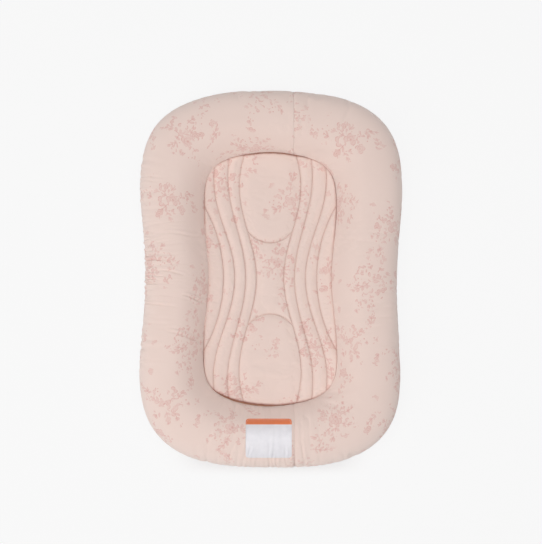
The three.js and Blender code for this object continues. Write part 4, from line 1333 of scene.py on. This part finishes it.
def copiesOf(model, name, places, material):
    # one mesh of many copies; a place is its middle, the way it lies, the way it faces and its scale
    corners = np.array([v.co for v in model.data.vertices])
    shapes = [list(p.vertices) for p in model.data.polygons]
    points, faces = [], []
    for at, ahead, up, scale in places:
        ahead = np.array(ahead, float)
        ahead /= np.linalg.norm(ahead)
        side = np.cross(up, ahead)
        side /= np.linalg.norm(side)
        turn = np.stack([ahead, side, np.cross(ahead, side)])
        first = len(points) * len(corners)
        points.append((corners * scale) @ turn + at)
        faces += [[first + k for k in f] for f in shapes]
    piece = makePiece(name, np.concatenate(points), faces, material)
    bpy.data.objects.remove(model)
    return piece


stitchSize = 0.001  # of the model, before it is scaled
threadMake = {"pitch": 0.0034, "stitch": 0.0028, "thick": 0.0006, "over": 0.00012}


def editModel():  # the primitive just added, all selected in edit mode
    bpy.ops.object.mode_set(mode="EDIT")
    bpy.ops.mesh.select_all(action="SELECT")
    return bpy.context.object


def stitchModel():  # one thread stitch
    bpy.ops.object.select_all(action="DESELECT")
    bpy.ops.mesh.primitive_uv_sphere_add(segments=6, ring_count=5, radius=stitchSize / 2)
    model = editModel()
    bpy.ops.transform.rotate(value=math.pi / 2, orient_axis="Y", center_override=(0, 0, 0))
    bpy.ops.object.mode_set(mode="OBJECT")
    return model


def stitchScale(length, wide, high):
    return length / stitchSize, wide / stitchSize, high / stitchSize


def quiltThread(lines, material):
    places = []
    t = threadMake
    size = stitchScale(t["stitch"], t["thick"], t["thick"])
    for line in lines:
        middle = resample(line, t["pitch"])
        ahead = np.gradient(middle, axis=0)
        for (x, y), (dx, dy), z in zip(middle, ahead, padTop(middle, lines)):
            places.append(((x, y, z + t["over"]), (dx, dy, 0), (0, 0, 1), size))
    piece = copiesOf(stitchModel(), "quiltStitches", places, material)
    settle(piece, "lounger", "printed_cotton")
    print("quilt stitches:", len(places))


# foam core and its pocket

innerPad = {"foamInset": 0.0021, "foamBottom": 0.0116, "foamTop": 0.0290, "foamRound": 0.003,
            "pocketInset": 0.0009, "pocketBottom": 0.0105, "pocketTop": 0.0289, "cloth": 0.0007,
            "pocketRound": 0.002, "insideRound": 0.0013}


def padLoop(inset, steps=60):
    loop = traceLoop(pad, steps)
    ahead = np.roll(loop, -1, 0) - np.roll(loop, 1, 0)
    ahead /= np.hypot(*ahead.T)[:, None]
    return loop - np.stack([ahead[:, 1], -ahead[:, 0]], 1) * inset


def stackLoops(name, levels, material, slot, node):
    # a closed form from loops at rising heights: each level is an inset and a height
    loops = np.stack([padLoop(inset) for inset, _ in levels])
    loops = atHeight(loops, np.array([[z] for _, z in levels]))
    count = loops.shape[1]
    last = (len(levels) - 1) * count
    points = np.vstack([loops.reshape(-1, 3), [[0, 0, levels[0][1]], [0, 0, levels[-1][1]]]])
    faces = gridFaces(len(levels), count, wrapColumns=True)[:, ::-1].tolist()
    for k in range(count):
        n = (k + 1) % count
        faces.append([len(points) - 2, n, k])
        faces.append([len(points) - 1, last + k, last + n])
    piece = makePiece(name, points, faces, material, {"cloth": points[:, :2]})
    settle(piece, "lounger", slot, node)
    return piece


def makePadInside(materials):
    p = innerPad
    r = p["foamRound"]
    bend = [(r * (1 - math.sin(a)), r * (1 - math.cos(a))) for a in np.linspace(0, math.pi / 2, 5)]
    levels = [(p["foamInset"] + inset, p["foamBottom"] + z) for inset, z in bend]
    levels += [(p["foamInset"] + inset, p["foamTop"] - z) for inset, z in reversed(bend)]
    foam = stackLoops("foamCore", levels, materials["foam"], "foam", "pad_foam")
    out, bottom, top, r = p["pocketInset"], p["pocketBottom"], p["pocketTop"], p["pocketRound"]
    inner = out + p["cloth"]
    levels = [(out + r, bottom), (out, bottom + r), (out, top),
              (inner, top), (inner, bottom + r), (inner + p["insideRound"], bottom + p["cloth"])]
    pocket = stackLoops("padPocket", levels, materials["liner"], "liner_cotton", "pad_pocket")


# base cloth and zip

base = {
    "rows": 300, "columnsUnder": 26, "columnsFlat": 8, "columnsUp": 30, "bunching": 1.15,
    "underFrom": 0.012,  # past the base seam, as an angle round the bolster
    "slit": 0.0055, "zipHalf": 0.208, "middleGap": 0.00015, "endPast": 0.00275,
    "panelHeight": 0.0065, "rampStart": 0.008, "rampEnd": 0.034,
    "lump": 0.0007, "lumpPitch": (0.03, 0.02), "lumpFrom": (0.02, 0.05),
    "calmFrom": (0.8, 0.96),  # share of the way to the zip
    "draw": 0.0005, "drawPitch": 0.0065, "drawColumns": 8,  # puckers along the base seam
    "thick": 0.0011, "seed": 9,
}


def between(first, last, shares):  # rows of points from the first to the last
    return first[:, None, :] + (last - first)[:, None, :] * shares[None, :, None]


def basePanel(word, side, material):
    b = base
    start, end = (ringLength / 4, 3 * ringLength / 4) if side < 0 else (-ringLength / 4, ringLength / 4)
    st = stations(np.linspace(start, end, b["rows"]))
    angles = np.linspace(baseAngle + b["underFrom"], 1.5 * math.pi, b["columnsUnder"])
    under = ringGrid(st, angles, np.zeros(len(angles)))
    edge = st["at"] + st["across"] * (st["middle"] - st["half"])[:, None]
    toZip = edge * (0, b["zipHalf"]) / pad["halfLength"] + (side * b["slit"], 0)
    for row in (0, -1):  # the two halves meet past the zip's ends
        toZip[row] = (side * b["middleGap"], math.copysign(b["zipHalf"] + b["endPast"], edge[row, 1]))
        edge[row, 0] = side * b["middleGap"]
        under[row, :, 0] = side * b["middleGap"]
    flatPart = between(under[:, -1, :2], edge, np.linspace(0, 1, b["columnsFlat"] + 1)[1:])
    # from the bolster's inner edge the cloth rises to the zip
    run = np.hypot(*(toZip - edge).T)
    places = np.linspace(0, 1, b["columnsUp"] + 1)[1:] ** b["bunching"]
    well = between(edge, toZip, places)
    distance = run[:, None] * places[None, :]
    rampEnd = np.minimum(b["rampEnd"], run / 2)[:, None]
    rise = b["panelHeight"] * smoothRise(distance, np.minimum(b["rampStart"], rampEnd / 2), rampEnd)
    lumps = latticeNoise(*(well / b["lumpPitch"]).transpose(2, 0, 1), b["seed"])
    calm = (1 - smoothRise(places, *b["calmFrom"]))[None, :]
    rise += b["lump"] * lumps * smoothRise(distance, *b["lumpFrom"]) * calm
    points = np.concatenate([under, atHeight(flatPart, 0.0), atHeight(well, rise)], 1)
    rows, columns = points.shape[:2]
    along = np.broadcast_to(st["along"][:, None] / b["drawPitch"], (rows, b["drawColumns"]))
    draw = np.abs(b["draw"] * latticeNoise(along, 0 * along, b["seed"] + 1))
    points[:, :b["drawColumns"], 2] += draw * np.linspace(1, 0, b["drawColumns"])
    flat = points.reshape(-1, 3)
    piece = makePiece("baseCloth" + word, flat, gridFaces(rows, columns), material, {"cloth": flat[:, :2]})
    thicken = piece.modifiers.new("cloth", "SOLIDIFY")
    thicken.thickness, thicken.offset = b["thick"], -1
    bpy.context.view_layer.objects.active = piece
    bpy.ops.object.select_all(action="DESELECT")
    piece.select_set(True)
    bpy.ops.object.modifier_apply(modifier="cloth")
    settle(piece, "lounger", "plain_cotton", "base_panel_" + word.lower())


hemMake = {"fromMiddle": 0.0085, "half": 0.204, "under": 0.0001}


def hemThread(material):  # the stitches that hold the base cloth to each side of the zip
    t, h = threadMake, hemMake
    size = stitchScale(t["stitch"], t["thick"], t["thick"])
    places = [((side * h["fromMiddle"], y, base["panelHeight"] - h["under"]), (0, 1, 0), (0, 0, -1), size)
              for side in (-1, 1) for y in np.arange(-h["half"], h["half"], t["pitch"])]
    piece = copiesOf(stitchModel(), "hemStitches", places, material)
    settle(piece, "lounger", "plain_cotton")


zipMake = {
    "half": 0.2,
    "tapeInner": 0.0009, "tapeOuter": 0.016, "tapeHalf": 0.214, "tapeBottom": 0.0080, "tapeTop": 0.0086,
    "tapeColumns": 16, "tapeRows": 260, "rib": 0.00006, "ribInset": 0.00008,
    "coilTop": 0.00785, "coilBottom": 0.00595, "coilMiddle": 0.00095, "coilEnd": 0.0004,
    "pitch": 0.0014, "tooth": (0.00082, 0.0022, 0.0017), "toothRound": 0.00034,
}


def toothModel():  # one turn of a nylon coil, seen from below as a rounded bar across the tape
    bpy.ops.object.select_all(action="DESELECT")
    bpy.ops.mesh.primitive_cube_add(size=1)
    model = editModel()
    bpy.ops.transform.resize(value=zipMake["tooth"])
    bpy.ops.mesh.bevel(offset=zipMake["toothRound"], segments=2, affect="EDGES")
    bpy.ops.object.mode_set(mode="OBJECT")
    return model


def zipTape(word, side, material):
    z = zipMake
    x = np.linspace(z["tapeInner"], z["tapeOuter"], z["tapeColumns"]) * side
    y = np.linspace(-z["tapeHalf"], z["tapeHalf"], z["tapeRows"])
    plan = np.stack(np.meshgrid(x, y), 2)
    ribs = z["rib"] * np.cos(np.arange(len(x)) * math.pi)
    low = atHeight(plan, z["tapeBottom"] + z["ribInset"] + ribs)
    high = atHeight(plan, z["tapeTop"] - z["ribInset"] + ribs)
    points = np.concatenate([low, high]).reshape(-1, 3)
    faces = slabFaces(len(y), len(x), side < 0)
    tape = makePiece("zipTape" + word, points, faces, material, {"cloth": points[:, :2]})
    settle(tape, "lounger", "zip_webbing", "zip_tape_" + word.lower())


def zipTeeth(word, side, material):  # the two rows stand half a pitch apart
    z = zipMake
    middle, height = side * (z["tapeInner"] + z["coilMiddle"]), (z["coilTop"] + z["coilBottom"]) / 2
    start = -z["half"] + z["pitch"] / 2 * (1 + (side > 0))
    places = [((middle, y, height), (0, 1, 0), (0, 0, 1), (1, 1, 1))
              for y in np.arange(start, z["half"] - z["coilEnd"], z["pitch"])]
    teeth = copiesOf(toothModel(), "zipTeeth" + word, places, material)
    settle(teeth, "lounger", "zip_nylon", "zip_coil_" + word.lower())


def makeZip(materials):
    for word, side in (("Left", -1), ("Right", 1)):
        zipTape(word, side, materials["tape"])
        zipTeeth(word, side, materials["nylon"])
    for node in ("zip_top_stop_left", "zip_top_stop_right", "zip_bottom_stop", "zip_slider", "zip_pull"):
        mesh = frame["nodes"][node].data
        mesh.materials.clear()
        mesh.materials.append(materials["enamel"])
    print("zip made")


# sewn patch on the foot end

patch = {
    "left": -0.0485, "right": 0.0425, "inner": -0.2835, "outer": -0.3600, "thick": 0.0005, "corner": 0.0055,
    "rows": 74, "columns": 82, "bunching": 0.2,
    "lift": 0.00012,
    "eased": 14,  # rounds of smoothing: the patch is stiffer than the cover and bridges its small folds
    "folds": 0.0009, "foldsAt": -0.34,
    "ripple": 0.00025, "ripplePitch": (0.012, 0.03), "looseFrom": (0.001, 0.008), "seed": 31,
    "turnedUnder": 0.004,
    "stitchInset": 0.0022, "stitchPitch": 0.0032, "stitchOver": 0.0001, "stitchScale": (2.5, 0.55, 0.45),
}
# the patch's folds: X, slant, width, share of the depth, and from where to where along Y they fade out
patchFolds = [(0.004, 0.02, 0.0024, 1.0, (-0.349, -0.325)), (0.021, 0.0, 0.003, 0.5, (-0.356, -0.336))]


def coverHeight(cover, plan, margin=0.01, above=0.04, castFrom=0.2):
    # height of the finished cover under each point in plan, from its upper faces near the patch
    mesh = cover.data
    corners = np.empty(len(mesh.vertices) * 3)
    mesh.vertices.foreach_get("co", corners)
    low, high = plan.min(0) - margin, plan.max(0) + margin
    near = [p.vertices[:] for p in mesh.polygons
            if low[0] < p.center.x < high[0] and low[1] < p.center.y < high[1] and p.center.z > above]
    tree = BVHTree.FromPolygons(corners.reshape(-1, 3).tolist(), near)
    return np.array([tree.ray_cast((x, y, castFrom), (0, 0, -1))[0].z for x, y in plan])


def patchBottom(under, plan, middle, half):
    # the patch lies on the cover, smoother than it, with folds of its own and a rim that is sewn down
    p = patch
    eased = under.copy()
    for _ in range(p["eased"]):
        wide = np.pad(eased, 1, mode="edge")
        eased = (wide[:-2, 1:-1] + wide[2:, 1:-1] + wide[1:-1, :-2] + wide[1:-1, 2:] + 4 * eased) / 8
    x, y = plan[..., 0], plan[..., 1]
    fold = 0
    for at, slant, width, share, fades in patchFolds:
        off = x - at - slant * (y - p["foldsAt"])
        fold = fold + share * np.exp(-(off / width) ** 2) * (1 - smoothRise(y, *fades))
    pitchX, pitchY = p["ripplePitch"]
    ripple = latticeNoise(x / pitchX + 3, y / pitchY + 8, p["seed"])
    loose = smoothRise((half - np.abs(plan - middle)).min(2), *p["looseFrom"])
    return np.maximum(eased, under) + p["lift"] + (p["folds"] * fold + p["ripple"] * (ripple + 1)) * loose


def makePatch(cover, materials):
    p = patch
    middle = np.array([p["left"] + p["right"], p["inner"] + p["outer"]]) / 2
    half = np.array([p["right"] - p["left"], p["inner"] - p["outer"]]) / 2
    even, u = np.linspace(-1, 1, p["rows"]), np.linspace(-1, 1, p["columns"])
    v = np.sin(even * math.pi / 2) * p["bunching"] + even * (1 - p["bunching"])
    y = half[1] * v
    into = np.clip((np.abs(y) - half[1] + p["corner"]) / p["corner"], 0, 1)
    wide = half[0] - p["corner"] * (1 - np.sqrt(1 - into ** 2))
    plan = np.stack(np.broadcast_arrays(wide[:, None] * u[None, :], y[:, None]), 2) + middle
    rows, columns = plan.shape[:2]
    under = coverHeight(cover, plan.reshape(-1, 2)).reshape(rows, columns)
    low = patchBottom(under, plan, middle, half)
    points = np.concatenate([atHeight(plan, low + p["thick"]), atHeight(plan, low)]).reshape(-1, 3)
    share = np.stack(np.meshgrid((u + 1) / 2, (v + 1) / 2), 2).reshape(-1, 2)
    faces = slabFaces(rows, columns, True)
    piece = makePiece("sewnPatch", points, faces, materials["satin"],
                      {"cloth": points[:, :2], "share": np.vstack([share, share])})
    settle(piece, "lounger", "patch_satin", "cloth_patch")
    stitches = patchEdging(points[:rows * columns], columns, middle, half, materials["whiteThread"])
    print("patch sewn on:", len(faces), "faces,", stitches, "stitches")


def patchEdging(top, columns, middle, half, material):  # lockstitches just inside the patch's edge
    p = patch
    turn = np.linspace(0, 2 * math.pi, 4001)
    around = np.stack([np.cos(turn), np.sin(turn)], 1)
    corner = p["corner"] - p["stitchInset"] * 0.6
    seam = around * corner + np.sign(around) * (half - p["stitchInset"] - corner)
    seam = resample(seam + middle, p["stitchPitch"])
    _, nearest = nearestTo(seam, top[:, :2])
    places = []
    for (x, y), (dx, dy), k in zip(seam, np.gradient(seam, axis=0), nearest):
        low, high = top[max(k - columns, 0)], top[min(k + columns, len(top) - 1)]
        slope = (high[2] - low[2]) / (high[1] - low[1])
        z = top[k, 2] + p["stitchOver"] + slope * (y - top[k, 1])
        places.append(((x, y, z), (dx, dy, dy * slope), (0, -slope, 1), p["stitchScale"]))
    edging = copiesOf(stitchModel(), "patchStitches", places, material)
    settle(edging, "lounger", "patch_satin")
    return len(places)


addCamera(photoView)
addLamps()
addSurround()
addFloor()
print("camera, lamps and floor set")

materials = addMaterials()
print("materials made:", len(materials))
leftCover = makeCovers(materials["printed"])
insertTube("insertLiner", insertMake["linerInset"], materials["liner"], "liner_cotton", "bolster_liner")
insertTube("insertFilling", insertMake["fillInset"], materials["fibre"], "fibre_filling", "bolster_fill")
quiltLines = makeQuilt(materials["printed"])
creaseShadeCord(materials["creaseCordShade"])
quiltThread(quiltLines, materials["thread"])
makePadInside(materials)
basePanel("Left", -1, materials["plain"])
basePanel("Right", 1, materials["plain"])
hemThread(materials["thread"])
makeZip(materials)
makePatch(leftCover, materials)
